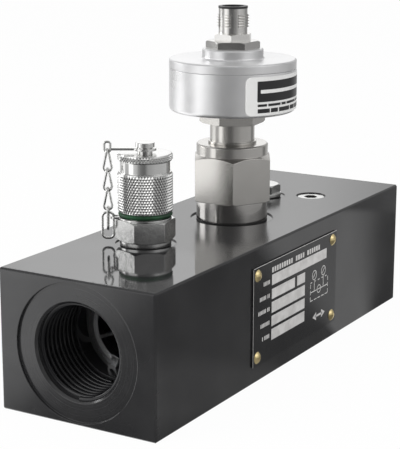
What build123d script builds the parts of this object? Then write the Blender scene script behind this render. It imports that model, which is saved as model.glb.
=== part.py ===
from build123d import *
from math import cos, degrees, radians, sin, sqrt
import os

# In-line turbine flow meter in a drilled block, with a screw-in pickup, a pressure test point
# and two plugs on top. Millimetres. The origin is the centre of the block's underside,
# X is the flow axis, -Y is the side with the nameplate and +Z is up.

# Block
block_length = 190.0
block_width = 62.0
block_height = 50.0
block_edge = 0.6
flow_z = 25.0

# Ports at both ends, with a flat sealing ring round each and the thread at its major diameter
port_thread_diameter = 33.249
port_thread_depth = 22.0
port_spotface_diameter = 48.0
port_spotface_depth = 1.0
port_mouth_chamfer = 0.8
cage_bore_diameter = 30.0
cage_bore_depth = 34.0
metering_bore_diameter = 26.0

# Spring clip that holds each flow straightener
clip_thickness = 1.2
clip_depth = 29.8
clip_radial_width = 2.1
clip_grip = 0.7
clip_opening = 34.0
clip_lug_length = 3.0
clip_hole_diameter = 1.4
clip_play = 0.05

# Flow straighteners
vane_count = 4
vane_thickness = 1.2
vane_angle = -22.5
vane_setback = 12.0
vane_fit = 0.05
hub_diameter = 12.0
hub_nose_length = 9.0
hub_nose_lead = 4.0
cage_ring_fit = 0.05
cage_ring_width = 2.3
bush_diameter = 6.4
bush_length = 7.0

# Turbine rotor
blade_count = 8
blade_thickness = 1.1
blade_length = 11.0
blade_twist = 32.0
blade_stations = 4
rotor_length = 13.0
rotor_tip_gap = 0.35
rotor_side_gap = 0.25
shaft_diameter = 3.0
shaft_running_gap = 0.05
shaft_end_play = 0.3
shaft_point = 0.6

# Pickup on the sensor axis, which is also the middle of the rotor
sensor_x = 8.0
sensor_spotface_diameter = 31.4
sensor_spotface_depth = 0.5
sensor_thread_diameter = 18.0
sensor_hole_floor = 40.7
sensor_seal_thickness = 0.6
sleeve_collar_diameter = 27.0
sleeve_collar_height = 7.4
sleeve_spigot_diameter = 22.0
sleeve_spigot_height = 10.5
nut_across_flats = 28.0
nut_bottom_gap = 0.1
nut_hex_height = 17.4
nut_height = 21.4
nut_chamfer = 0.5
nut_corner_angle = 210.7
hex_edge_break = 0.12
neck_diameter = 16.8
neck_foot_diameter = 18.2
neck_foot_height = 0.9
neck_top = 86.7
neck_fit = 0.05
probe_diameter = 12.0
probe_tip_z = 41.2
probe_wall = 1.4
probe_ring_thickness = 2.0
coil_bottom_play = 0.3
coil_diameter = 8.8
coil_length = 15.0
core_diameter = 3.0
magnet_length = 6.0

# Head
head_nut_across_flats = 21.5
head_nut_height = 4.8
head_nut_corner_angle = -173.3
head_diameter = 47.5
head_height = 15.8
head_wall = 2.5
head_edge_radius = 1.5
head_stud_diameter = 12.0
inner_nut_across_flats = 16.0
inner_nut_height = 2.5
pillar_diameter = 4.0
pillar_height = 5.0
pillar_circle = 30.0
pillar_count = 3
pillar_start_angle = 30.0
board_diameter = 38.0
board_thickness = 1.6
board_screw_diameter = 2.0
board_screw_head_diameter = 3.8
board_screw_head_height = 1.6
board_screw_length = 5.0
chip_size = 7.0
chip_height = 1.2
lid_thickness = 3.5
lid_edge_chamfer = 0.5
lid_seam_chamfer = 0.25
lid_spigot_height = 2.6
lid_spigot_fit = 0.05
lid_ring_width = 1.2
lid_ring_height = 1.4
boss_diameter = 22.8
boss_height = 3.7
boss_root_radius = 0.8

# Wrap label on the head, starting just right of the corner nearest the nameplate end
label_thickness = 0.15
label_height = 14.0
label_bottom_gap = 1.0
label_start_angle = 220.7
label_sweep = 120.0

# Cable connector on the head
connector_thread_diameter = 12.0
connector_root_diameter = 10.7
connector_nut_across_flats = 17.5
connector_nut_height = 2.8
connector_nut_corner_angle = -124.3
connector_hex_across_flats = 13.0
connector_hex_height = 2.7
connector_hex_corner_angle = 25.0
connector_shell_height = 9.2
connector_groove_count = 6
connector_groove_width = 2.9
connector_groove_angle = 217.0
connector_band = 2.2
connector_tail = 2.5
connector_bore_diameter = 9.2
insert_wall = 0.6
insert_floor = 2.0
insert_rim_diameter = 10.9
insert_rim_height = 0.8
socket_depth = 8.6
pin_diameter = 1.0
pin_circle = 5.0
pin_count = 4
pin_recess = 1.2
pin_tail = 2.5

# Pressure test point
test_x = -42.4
test_y = 6.5
test_spotface_diameter = 21.8
test_spotface_depth = 0.4
test_thread_diameter = 13.157
test_thread_length = 10.5
test_seal_diameter = 17.6
test_seal_gap = 0.4
test_collar_diameter = 18.3
test_collar_height = 1.6
test_collar_chamfer = 0.7
test_hex_across_flats = 18.6
test_hex_height = 7.4
test_hex_corner_angle = 191.2
test_hex_chamfer = 0.5
test_neck_diameter = 16.0
test_top = 74.4
test_passage_diameter = 3.0
test_bore_diameter = 6.4
spring_floor = 54.0
seat_diameter = 8.0
seat_height = 3.5
seat_recess = 2.0
poppet_height = 4.0
poppet_play = 0.2
stem_diameter = 2.4
stem_fit = 0.3
stem_recess = 1.4
spring_wire = 0.6
spring_coils = 5.0
spring_play = 0.1

# Dust cap with a diamond-knurled grip, screwed on the test point
cap_diameter = 19.6
cap_reach = 12.7
cap_bottom = test_top - cap_reach
cap_thread_fit = 0.1
cap_grip_height = 14.4
cap_band_diameter = 17.6
cap_band_height = 3.9
cap_flange_height = 2.6
cap_edge_chamfer = 0.35
cap_roof = 7.0
cap_seal_width = 3.0
cap_seal_gap = 0.1
dust_ring_wire = 1.6
stud_waist_diameter = 5.2
stud_waist_height = 2.1
stud_head_diameter = 6.8
stud_head_height = 1.6
stud_shank_length = 5.0
stud_edge_radius = 0.3

# Chain between the cap's tab and a strap under the cap, on the side away from the nameplate
chain_direction = 120.73
chain_reach = 13.2
link_wire = 0.9
link_length = 8.8
link_width = 4.4
end_link_length = 10.2
end_link_width = 4.9
link_play = 0.1
link_corner_share = 0.8
hanging_links = 3
strap_thickness = 0.8
strap_seat_gap = 0.05
strap_ring_width = 1.3
strap_eye_diameter = 2.6
strap_eye_rim = 0.9
end_link_lift = 0.8
tab_thickness = 0.8
tab_width = 2.4
tab_ring_width = 1.3
tab_ring_gap = 0.1
tab_height = 0.9
tab_eye_height = 4.4
tab_eye_width = 3.0

# Plug in the temperature port
temperature_x = 47.5
temperature_y = 8.0
temperature_spotface_diameter = 18.4
temperature_spotface_depth = 0.3
temperature_thread_diameter = 13.157
temperature_thread_length = 10.5
temperature_flange_diameter = 15.0
temperature_flange_height = 1.3
temperature_hex_across_flats = 12.6
temperature_hex_height = 3.4
temperature_hex_chamfer = 0.5
temperature_seal_diameter = 14.4
temperature_seal_height = 0.5
temperature_passage_diameter = 6.0

# Sunk plug with a hexagon socket
sunk_x = 57.0
sunk_y = -9.3
sunk_mouth_diameter = 11.8
sunk_mouth_depth = 0.4
sunk_thread_diameter = 11.2
sunk_thread_length = 9.0
sunk_socket_across_flats = 5.0
sunk_socket_depth = 4.5
sunk_edge_chamfer = 0.3
sunk_passage_diameter = 4.0

# Nameplate and its dome rivets
plate_length = 67.0
plate_height = 36.5
plate_thickness = 0.6
plate_x = 1.4
plate_z = 24.8
plate_corner = 1.0
rivet_inset_x = 3.35
rivet_inset_z = 3.1
rivet_head_diameter = 4.5
rivet_head_height = 1.1
rivet_shank_diameter = 2.2
rivet_shank_length = 4.0

# Tapped holes in the underside
foot_spacing_x = 120.0
foot_spacing_y = 44.0
foot_hole_diameter = 6.0
foot_hole_depth = 12.0

# Places that follow from the sizes above
rivet_spacing_x = plate_length - 2 * rivet_inset_x
rivet_spacing_z = plate_height - 2 * rivet_inset_z
block_top = block_height
end_x = block_length / 2
metering_radius = metering_bore_diameter / 2
cage_radius = cage_bore_diameter / 2
hub_radius = hub_diameter / 2
flow_line = Axis((0, 0, flow_z), (1, 0, 0))
side_plane = Plane.XZ.offset(block_width / 2)
flow_section = Plane(origin=(0, 0, flow_z), x_dir=(1, 0, 0), z_dir=(0, -1, 0))
sensor_line = Axis((sensor_x, 0, 0), (0, 0, 1))
sensor_section = Plane(origin=(sensor_x, 0, 0), x_dir=(1, 0, 0), z_dir=(0, -1, 0))
test_line = Axis((test_x, test_y, 0), (0, 0, 1))
test_section = Plane(origin=(test_x, test_y, 0), x_dir=(1, 0, 0), z_dir=(0, -1, 0))
temperature_line = Axis((temperature_x, temperature_y, 0), (0, 0, 1))
temperature_section = Plane(
    origin=(temperature_x, temperature_y, 0), x_dir=(1, 0, 0), z_dir=(0, -1, 0)
)

os.makedirs("parts", exist_ok=True)


def finish(builder, name):
    """Name a finished piece and write it to its own file."""
    builder.part.label = name
    export_step(builder.part, f"parts/{name}.step")


def sensor_plane(height):
    """A level plane on the sensor axis."""
    return Plane.XY.offset(height).move(Location((sensor_x, 0, 0)))


def test_plane(height):
    """A level plane on the test point's axis."""
    return Plane.XY.offset(height).move(Location((test_x, test_y, 0)))


def crowned_hexagon(plane, flats, height, top_cut, bottom_cut, corner_angle):
    """Hexagon bar on a level plane, its corners turned off at 30 degrees at both ends."""
    corner = flats / sqrt(3)
    slope = sqrt(3)
    upright = Plane(origin=plane.origin, x_dir=(1, 0, 0), z_dir=(0, -1, 0))
    with BuildPart() as blank:
        with BuildSketch(plane):
            RegularPolygon(corner, side_count=6, rotation=corner_angle)
        extrude(amount=height)
        with BuildSketch(upright):
            with BuildLine():
                Polyline(
                    (0, 0),
                    (corner - bottom_cut * slope, 0),
                    (corner, bottom_cut),
                    (corner, height - top_cut),
                    (corner - top_cut * slope, height),
                    (0, height),
                    close=True,
                )
            make_face()
        revolve(axis=Axis(plane.origin, (0, 0, 1)), mode=Mode.INTERSECT)
    return blank.part


# Block, drilled from both ends for the turbine and from the top for the fittings
sensor_seat = block_top - sensor_spotface_depth
test_seat = block_top - test_spotface_depth
temperature_seat = block_top - temperature_spotface_depth
sunk_seat = block_top - sunk_mouth_depth
clip_groove_radius = cage_radius + clip_grip

with BuildPart() as meter_block:
    with BuildSketch():
        Rectangle(block_length, block_width)
    extrude(amount=block_height)
    chamfer(meter_block.edges(), block_edge)
    for side in (-1, 1):
        with BuildSketch(flow_section):
            with BuildLine():
                Polyline(
                    (side * end_x, 0),
                    (side * end_x, port_spotface_diameter / 2),
                    (side * (end_x - port_spotface_depth), port_spotface_diameter / 2),
                    (
                        side * (end_x - port_spotface_depth),
                        port_thread_diameter / 2 + port_mouth_chamfer,
                    ),
                    (
                        side * (end_x - port_spotface_depth - port_mouth_chamfer),
                        port_thread_diameter / 2,
                    ),
                    (side * (end_x - port_thread_depth), port_thread_diameter / 2),
                    (side * (end_x - port_thread_depth), cage_radius),
                    (side * (end_x - clip_depth), cage_radius),
                    (side * (end_x - clip_depth), clip_groove_radius),
                    (side * (end_x - clip_depth - clip_thickness), clip_groove_radius),
                    (side * (end_x - clip_depth - clip_thickness), cage_radius),
                    (side * (end_x - cage_bore_depth), cage_radius),
                    (side * (end_x - cage_bore_depth), metering_radius),
                    (0, metering_radius),
                    (0, 0),
                    close=True,
                )
            make_face()
        revolve(axis=flow_line, mode=Mode.SUBTRACT)
    with BuildSketch(sensor_section):
        with BuildLine():
            Polyline(
                (0, sensor_hole_floor),
                (sensor_thread_diameter / 2, sensor_hole_floor),
                (sensor_thread_diameter / 2, sensor_seat),
                (sensor_spotface_diameter / 2, sensor_seat),
                (sensor_spotface_diameter / 2, block_top),
                (0, block_top),
                close=True,
            )
        make_face()
    revolve(axis=sensor_line, mode=Mode.SUBTRACT)
    with BuildSketch(test_section):
        with BuildLine():
            Polyline(
                (0, flow_z),
                (test_passage_diameter / 2, flow_z),
                (test_passage_diameter / 2, block_top - test_thread_length),
                (test_thread_diameter / 2, block_top - test_thread_length),
                (test_thread_diameter / 2, test_seat),
                (test_spotface_diameter / 2, test_seat),
                (test_spotface_diameter / 2, block_top),
                (0, block_top),
                close=True,
            )
        make_face()
    revolve(axis=test_line, mode=Mode.SUBTRACT)
    with BuildSketch(temperature_section):
        with BuildLine():
            Polyline(
                (0, flow_z),
                (temperature_passage_diameter / 2, flow_z),
                (temperature_passage_diameter / 2, block_top - temperature_thread_length),
                (temperature_thread_diameter / 2, block_top - temperature_thread_length),
                (temperature_thread_diameter / 2, temperature_seat),
                (temperature_spotface_diameter / 2, temperature_seat),
                (temperature_spotface_diameter / 2, block_top),
                (0, block_top),
                close=True,
            )
        make_face()
    revolve(axis=temperature_line, mode=Mode.SUBTRACT)
    with BuildSketch(Plane.XY.offset(block_top)):
        with Locations((sunk_x, sunk_y)):
            Circle(sunk_mouth_diameter / 2)
    extrude(amount=-sunk_mouth_depth, mode=Mode.SUBTRACT)
    with BuildSketch(Plane.XY.offset(sunk_seat)):
        with Locations((sunk_x, sunk_y)):
            Circle(sunk_thread_diameter / 2)
    extrude(amount=-sunk_thread_length, mode=Mode.SUBTRACT)
    with BuildSketch(Plane.XY.offset(flow_z)):
        with Locations((sunk_x, sunk_y)):
            Circle(sunk_passage_diameter / 2)
    extrude(amount=sunk_seat - sunk_thread_length - flow_z, mode=Mode.SUBTRACT)
    with BuildSketch(Plane.XY):
        with GridLocations(foot_spacing_x, foot_spacing_y, 2, 2):
            Circle(foot_hole_diameter / 2)
    extrude(amount=foot_hole_depth, mode=Mode.SUBTRACT)
    with BuildSketch(side_plane):
        with Locations((plate_x, plate_z)):
            with GridLocations(rivet_spacing_x, rivet_spacing_z, 2, 2):
                Circle(rivet_shank_diameter / 2)
    extrude(amount=-rivet_shank_length, mode=Mode.SUBTRACT)
finish(meter_block, "meter_block")

# Flow straighteners, each a streamlined hub carried by radial vanes in a seating ring
cage_ring_radius = cage_radius - cage_ring_fit
cage_ring_depth = clip_depth + clip_thickness
rotor_half = rotor_length / 2
bush_radius = bush_diameter / 2
vane_radius = metering_radius - vane_fit

for name, side in (("inlet", -1), ("outlet", 1)):
    ring_face = end_x - cage_ring_depth
    seat_x = end_x - cage_bore_depth
    hub_end = side * sensor_x + rotor_half + rotor_side_gap
    nose_tip = ring_face + hub_nose_lead
    nose_foot = nose_tip - hub_nose_length
    vane_length = ring_face - hub_end - vane_setback
    with BuildPart() as straightener:
        with BuildSketch(Plane(origin=(side * ring_face, 0, flow_z), x_dir=(0, 1, 0), z_dir=(-side, 0, 0))):
            with PolarLocations(0, vane_count, start_angle=-side * vane_angle):
                with Locations((vane_radius / 2, 0)):
                    Rectangle(vane_radius, vane_thickness)
        extrude(amount=vane_length)
        with BuildSketch(flow_section):
            with BuildLine():
                Polyline(
                    (side * ring_face, 0),
                    (side * ring_face, vane_radius),
                    (side * (ring_face - vane_length), vane_radius),
                    (side * (ring_face - vane_length), 0),
                    close=True,
                )
            make_face()
        revolve(axis=flow_line, mode=Mode.INTERSECT)
        with BuildSketch(flow_section):
            with BuildLine():
                Polyline(
                    (side * ring_face, cage_ring_radius - cage_ring_width),
                    (side * ring_face, cage_ring_radius),
                    (side * seat_x, cage_ring_radius),
                    (side * seat_x, cage_ring_radius - cage_ring_width),
                    close=True,
                )
            make_face()
        revolve(axis=flow_line)
        with BuildSketch(flow_section):
            with BuildLine():
                Line((side * hub_end, bush_radius), (side * hub_end, hub_radius))
                Line((side * hub_end, hub_radius), (side * nose_foot, hub_radius))
                EllipticalCenterArc(
                    (side * nose_foot, 0),
                    hub_nose_length,
                    hub_radius,
                    start_angle=45 - side * 45,
                    arc_size=90,
                )
                Polyline(
                    (side * nose_tip, 0),
                    (side * (hub_end + bush_length + shaft_end_play), 0),
                    (side * (hub_end + bush_length + shaft_end_play), bush_radius),
                    (side * hub_end, bush_radius),
                )
            make_face()
        revolve(axis=flow_line)
    finish(straightener, f"{name}_straightener")

    with BuildPart() as bush:
        with BuildSketch(flow_section):
            with BuildLine():
                Polyline(
                    (side * hub_end, shaft_diameter / 2 + shaft_running_gap),
                    (side * hub_end, bush_radius),
                    (side * (hub_end + bush_length), bush_radius),
                    (side * (hub_end + bush_length), shaft_diameter / 2 + shaft_running_gap),
                    close=True,
                )
            make_face()
        revolve(axis=flow_line)
    finish(bush, f"{name}_bearing_bush")

    with BuildPart() as clip:
        with BuildSketch(
            Plane(origin=(side * (end_x - clip_depth), 0, flow_z), x_dir=(0, 1, 0), z_dir=(-side, 0, 0))
        ):
            Circle(clip_groove_radius - clip_play)
            Circle(clip_groove_radius - clip_play - clip_radial_width, mode=Mode.SUBTRACT)
            with BuildLine():
                opening_end = clip_groove_radius * 2
                Polyline(
                    (0, 0),
                    (
                        -opening_end * sin(radians(clip_opening / 2)),
                        -opening_end * cos(radians(clip_opening / 2)),
                    ),
                    (
                        opening_end * sin(radians(clip_opening / 2)),
                        -opening_end * cos(radians(clip_opening / 2)),
                    ),
                    close=True,
                )
            make_face(mode=Mode.SUBTRACT)
            lug_angle = clip_opening / 2 + degrees(clip_lug_length / 2 / cage_radius)
            lug_radius = clip_groove_radius - clip_radial_width - clip_lug_length / 4
            for lug_side in (-1, 1):
                with PolarLocations(lug_radius, 1, start_angle=-90 + lug_side * lug_angle):
                    Rectangle(clip_lug_length, clip_lug_length)
                    Circle(clip_hole_diameter / 2, mode=Mode.SUBTRACT)
        extrude(amount=clip_thickness)
    finish(clip, f"{name}_retaining_clip")

# Turbine rotor: twisted blades lofted through turned stations and trimmed to the tip circle
tip_radius = metering_radius - rotor_tip_gap
blade_root = hub_radius / 2
blade_span = tip_radius + blade_thickness - blade_root

with BuildPart() as turbine_rotor:
    for blade in range(blade_count):
        for station in range(blade_stations):
            share = station / (blade_stations - 1)
            turn = radians(blade * 360 / blade_count + (share - 1 / 2) * blade_twist)
            station_x = sensor_x + (share - 1 / 2) * blade_length
            with BuildSketch(
                Plane(
                    origin=(station_x, 0, flow_z),
                    x_dir=(0, cos(turn), sin(turn)),
                    z_dir=(1, 0, 0),
                )
            ):
                with Locations((blade_root + blade_span / 2, 0)):
                    Rectangle(blade_span, blade_thickness)
        loft()
    with BuildSketch(flow_section):
        with Locations((sensor_x, tip_radius / 2)):
            Rectangle(rotor_length, tip_radius)
    revolve(axis=flow_line, mode=Mode.INTERSECT)
    with BuildSketch(flow_section):
        with Locations((sensor_x, hub_radius / 2)):
            Rectangle(rotor_length, hub_radius)
    revolve(axis=flow_line)
    with BuildSketch(flow_section):
        with Locations((sensor_x, shaft_diameter / 4)):
            Rectangle(rotor_length, shaft_diameter / 2)
    revolve(axis=flow_line, mode=Mode.SUBTRACT)
finish(turbine_rotor, "turbine_rotor")

shaft_half = rotor_half + rotor_side_gap + bush_length
with BuildPart() as rotor_shaft:
    with BuildSketch(flow_section):
        with BuildLine():
            Polyline(
                (sensor_x - shaft_half, 0),
                (sensor_x - shaft_half, shaft_diameter / 2 - shaft_point),
                (sensor_x - shaft_half + shaft_point, shaft_diameter / 2),
                (sensor_x + shaft_half - shaft_point, shaft_diameter / 2),
                (sensor_x + shaft_half, shaft_diameter / 2 - shaft_point),
                (sensor_x + shaft_half, 0),
                close=True,
            )
        make_face()
    revolve(axis=flow_line)
finish(rotor_shaft, "rotor_shaft")

# Screw-in sleeve, its seal, the union nut over it and the pickup probe that they hold
collar_bottom = sensor_seat + sensor_seal_thickness
collar_top = collar_bottom + sleeve_collar_height
spigot_top = collar_top + sleeve_spigot_height
probe_radius = probe_diameter / 2
neck_radius = neck_diameter / 2
nut_bottom = collar_top + nut_bottom_gap
nut_top = nut_bottom + nut_height

with BuildPart() as sleeve_seal:
    with BuildSketch(sensor_plane(sensor_seat)):
        Circle(sleeve_collar_diameter / 2)
        Circle(sensor_thread_diameter / 2, mode=Mode.SUBTRACT)
    extrude(amount=sensor_seal_thickness)
finish(sleeve_seal, "sleeve_seal")

with BuildPart() as pickup_sleeve:
    with BuildSketch(sensor_section):
        with BuildLine():
            Polyline(
                (probe_radius + neck_fit, probe_tip_z),
                (sensor_thread_diameter / 2, probe_tip_z),
                (sensor_thread_diameter / 2, collar_bottom),
                (sleeve_collar_diameter / 2, collar_bottom),
                (sleeve_collar_diameter / 2, collar_top),
                (sleeve_spigot_diameter / 2, collar_top),
                (sleeve_spigot_diameter / 2, spigot_top),
                (probe_radius + neck_fit, spigot_top),
                close=True,
            )
        make_face()
    revolve(axis=sensor_line)
finish(pickup_sleeve, "pickup_sleeve")

neck_bottom = spigot_top + probe_ring_thickness
with BuildPart() as probe_seal:
    with BuildSketch(sensor_plane(spigot_top)):
        Circle(sleeve_spigot_diameter / 2 - neck_fit)
        Circle(probe_radius + neck_fit, mode=Mode.SUBTRACT)
    extrude(amount=probe_ring_thickness)
finish(probe_seal, "probe_seal")

nut_corner_cut = (nut_across_flats / sqrt(3) - sleeve_collar_diameter / 2) / sqrt(3)
union_nut_blank = crowned_hexagon(
    sensor_plane(nut_bottom),
    nut_across_flats,
    nut_hex_height,
    nut_corner_cut,
    nut_chamfer,
    nut_corner_angle,
)
with BuildPart() as union_nut:
    add(union_nut_blank)
    with BuildSketch(sensor_plane(nut_bottom + nut_hex_height)):
        Circle(sleeve_collar_diameter / 2)
    extrude(amount=nut_height - nut_hex_height)
    chamfer(union_nut.faces().sort_by(Axis.Z)[-1].edges(), nut_chamfer)
    with BuildSketch(sensor_section):
        with BuildLine():
            Polyline(
                (0, nut_bottom),
                (sleeve_spigot_diameter / 2, nut_bottom),
                (sleeve_spigot_diameter / 2, neck_bottom),
                (neck_radius + neck_fit, neck_bottom),
                (neck_radius + neck_fit, nut_top),
                (0, nut_top),
                close=True,
            )
        make_face()
    revolve(axis=sensor_line, mode=Mode.SUBTRACT)
finish(union_nut, "union_nut")

head_bottom = neck_top + head_nut_height
stud_top = head_bottom + head_wall + inner_nut_height
coil_bottom = probe_tip_z + probe_wall + coil_bottom_play
coil_top = coil_bottom + coil_length
well_top = coil_top + magnet_length
well_radius = probe_radius - probe_wall

with BuildPart() as pickup_probe:
    with BuildSketch(sensor_section):
        with BuildLine():
            Polyline(
                (0, probe_tip_z),
                (probe_radius, probe_tip_z),
                (probe_radius, neck_bottom),
                (neck_radius, neck_bottom),
                (neck_radius, nut_top),
                (neck_foot_diameter / 2, nut_top),
                (neck_foot_diameter / 2, nut_top + neck_foot_height),
                (neck_radius, nut_top + neck_foot_height),
                (neck_radius, neck_top),
                (head_stud_diameter / 2, neck_top),
                (head_stud_diameter / 2, stud_top),
                (core_diameter / 2, stud_top),
                (core_diameter / 2, well_top),
                (well_radius, well_top),
                (well_radius, coil_bottom - coil_bottom_play),
                (0, coil_bottom - coil_bottom_play),
                close=True,
            )
        make_face()
    revolve(axis=sensor_line)
finish(pickup_probe, "pickup_probe")

with BuildPart() as pickup_coil:
    with BuildSketch(sensor_plane(coil_bottom)):
        Circle(coil_diameter / 2)
        Circle(core_diameter / 2, mode=Mode.SUBTRACT)
    extrude(amount=coil_length)
finish(pickup_coil, "pickup_coil")

with BuildPart() as pole_piece:
    with BuildSketch(sensor_plane(coil_bottom - coil_bottom_play)):
        Circle(core_diameter / 2)
    extrude(amount=coil_length + coil_bottom_play)
finish(pole_piece, "pole_piece")

with BuildPart() as pickup_magnet:
    with BuildSketch(sensor_plane(coil_top)):
        Circle(coil_diameter / 2)
    extrude(amount=magnet_length)
finish(pickup_magnet, "pickup_magnet")

# Head: lock nut, turned cup, board on pillars, lid with its boss, and the wrap label
head_radius = head_diameter / 2
head_top = head_bottom + head_height
board_bottom = head_bottom + head_wall + pillar_height
board_top = board_bottom + board_thickness
lid_spigot_radius = head_radius - head_wall - lid_spigot_fit
lid_top = head_top + lid_thickness
boss_top = lid_top + boss_height

head_lock_nut_blank = crowned_hexagon(
    sensor_plane(neck_top),
    head_nut_across_flats,
    head_nut_height,
    hex_edge_break,
    nut_chamfer,
    head_nut_corner_angle,
)
with BuildPart() as head_lock_nut:
    add(head_lock_nut_blank)
    with BuildSketch(sensor_plane(neck_top)):
        Circle(head_stud_diameter / 2)
    extrude(amount=head_nut_height, mode=Mode.SUBTRACT)
finish(head_lock_nut, "head_lock_nut")

with BuildPart() as head_housing:
    with BuildSketch(sensor_section):
        with BuildLine():
            Polyline(
                (head_stud_diameter / 2, head_bottom),
                (head_radius, head_bottom),
                (head_radius, head_top),
                (head_radius - head_wall, head_top),
                (head_radius - head_wall, head_bottom + head_wall),
                (head_stud_diameter / 2, head_bottom + head_wall),
                close=True,
            )
        make_face()
    revolve(axis=sensor_line)
    foot_edges = head_housing.edges().filter_by(GeomType.CIRCLE).group_by(Axis.Z)[0]
    fillet(foot_edges.sort_by(SortBy.RADIUS)[-1], head_edge_radius)
    with BuildSketch(sensor_plane(head_bottom + head_wall)):
        with PolarLocations(pillar_circle / 2, pillar_count, start_angle=pillar_start_angle):
            Circle(pillar_diameter / 2)
    extrude(amount=pillar_height)
    with BuildSketch(sensor_plane(board_bottom)):
        with PolarLocations(pillar_circle / 2, pillar_count, start_angle=pillar_start_angle):
            Circle(board_screw_diameter / 2)
    extrude(amount=-(board_screw_length - board_thickness), mode=Mode.SUBTRACT)
finish(head_housing, "head_housing")

with BuildPart() as head_inner_nut:
    with BuildSketch(sensor_plane(head_bottom + head_wall)):
        RegularPolygon(radius=inner_nut_across_flats / 2, side_count=6, major_radius=False)
        Circle(head_stud_diameter / 2, mode=Mode.SUBTRACT)
    extrude(amount=inner_nut_height)
finish(head_inner_nut, "head_inner_nut")

with BuildPart() as circuit_board:
    with BuildSketch(sensor_plane(board_bottom)):
        Circle(board_diameter / 2)
        with PolarLocations(pillar_circle / 2, pillar_count, start_angle=pillar_start_angle):
            Circle(board_screw_diameter / 2, mode=Mode.SUBTRACT)
    extrude(amount=board_thickness)
    with BuildSketch(sensor_plane(board_top)):
        Rectangle(chip_size, chip_size)
    extrude(amount=chip_height)
finish(circuit_board, "circuit_board")

with BuildPart() as board_screws:
    with BuildSketch(sensor_plane(board_top)):
        with PolarLocations(pillar_circle / 2, pillar_count, start_angle=pillar_start_angle):
            Circle(board_screw_diameter / 2)
    extrude(amount=-board_screw_length)
    with BuildSketch(sensor_plane(board_top)):
        with PolarLocations(pillar_circle / 2, pillar_count, start_angle=pillar_start_angle):
            Circle(board_screw_head_diameter / 2)
    extrude(amount=board_screw_head_height)
finish(board_screws, "board_screws")

ring_bottom = head_top - (lid_spigot_height + lid_ring_height) / 2
with BuildPart() as lid_seal:
    with BuildSketch(sensor_plane(ring_bottom)):
        Circle(lid_spigot_radius)
        Circle(lid_spigot_radius - lid_ring_width, mode=Mode.SUBTRACT)
    extrude(amount=lid_ring_height)
finish(lid_seal, "lid_seal")

with BuildPart() as head_lid:
    with BuildSketch(sensor_section):
        with BuildLine():
            Polyline(
                (connector_thread_diameter / 2, head_top - lid_spigot_height),
                (lid_spigot_radius, head_top - lid_spigot_height),
                (lid_spigot_radius, ring_bottom),
                (lid_spigot_radius - lid_ring_width, ring_bottom),
                (lid_spigot_radius - lid_ring_width, ring_bottom + lid_ring_height),
                (lid_spigot_radius, ring_bottom + lid_ring_height),
                (lid_spigot_radius, head_top),
                (head_radius - lid_seam_chamfer, head_top),
                (head_radius, head_top + lid_seam_chamfer),
                (head_radius, lid_top),
                (boss_diameter / 2, lid_top),
                (boss_diameter / 2, boss_top),
                (connector_thread_diameter / 2, boss_top),
                close=True,
            )
        make_face()
    revolve(axis=sensor_line)
    level_edges = head_lid.edges().filter_by(GeomType.CIRCLE)
    rim_edges = level_edges.filter_by_position(Axis.Z, lid_top, lid_top).sort_by(SortBy.RADIUS)
    boss_edges = level_edges.filter_by_position(Axis.Z, boss_top, boss_top).sort_by(SortBy.RADIUS)
    fillet(rim_edges[0], boss_root_radius)
    chamfer([rim_edges[-1], boss_edges[-1]], lid_edge_chamfer)
finish(head_lid, "head_lid")

with BuildPart() as head_label:
    with BuildSketch(sensor_plane(head_bottom + label_bottom_gap)):
        Circle(head_radius + label_thickness)
        Circle(head_radius, mode=Mode.SUBTRACT)
        with BuildLine():
            reach = head_radius * 3
            middle = label_start_angle + label_sweep / 2
            Polyline(
                (0, 0),
                *[
                    (reach * cos(radians(angle)), reach * sin(radians(angle)))
                    for angle in (label_start_angle, middle, label_start_angle + label_sweep)
                ],
                close=True,
            )
        make_face(mode=Mode.INTERSECT)
    extrude(amount=label_height)
finish(head_label, "head_label")

# Cable connector: body with its threaded shell, lock nut, ring, insulating insert and pins
connector_nut_top = boss_top + connector_nut_height
shell_bottom = connector_nut_top + connector_hex_height
shell_top = shell_bottom + connector_shell_height
tail_bottom = head_top - lid_spigot_height - connector_tail
insert_radius = connector_bore_diameter / 2
insert_top = shell_top + insert_rim_height
socket_floor = insert_top - socket_depth
insert_bottom = socket_floor - insert_floor

connector_lock_nut_blank = crowned_hexagon(
    sensor_plane(boss_top),
    connector_nut_across_flats,
    connector_nut_height,
    nut_chamfer,
    hex_edge_break,
    connector_nut_corner_angle,
)
with BuildPart() as connector_lock_nut:
    add(connector_lock_nut_blank)
    with BuildSketch(sensor_plane(boss_top)):
        Circle(connector_thread_diameter / 2)
    extrude(amount=connector_nut_height, mode=Mode.SUBTRACT)
finish(connector_lock_nut, "connector_lock_nut")

connector_body_blank = crowned_hexagon(
    sensor_plane(connector_nut_top),
    connector_hex_across_flats,
    connector_hex_height,
    nut_chamfer,
    hex_edge_break,
    connector_hex_corner_angle,
)
with BuildPart() as connector_body:
    add(connector_body_blank)
    with BuildSketch(sensor_plane(tail_bottom)):
        Circle(connector_thread_diameter / 2)
    extrude(amount=connector_nut_top - tail_bottom)
    with BuildSketch(sensor_plane(shell_bottom + connector_band)):
        Circle(connector_thread_diameter / 2)
        with PolarLocations(
            connector_thread_diameter / 2, connector_groove_count, start_angle=connector_groove_angle
        ):
            Rectangle(connector_thread_diameter / 2, connector_groove_width, mode=Mode.SUBTRACT)
    extrude(amount=connector_shell_height - 2 * connector_band)
    with BuildSketch(sensor_plane(shell_bottom)):
        Circle(connector_root_diameter / 2)
    extrude(amount=connector_shell_height)
    with BuildSketch(sensor_plane(tail_bottom)):
        Circle(connector_bore_diameter / 2)
    extrude(amount=shell_top - tail_bottom, mode=Mode.SUBTRACT)
finish(connector_body, "connector_body")

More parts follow.
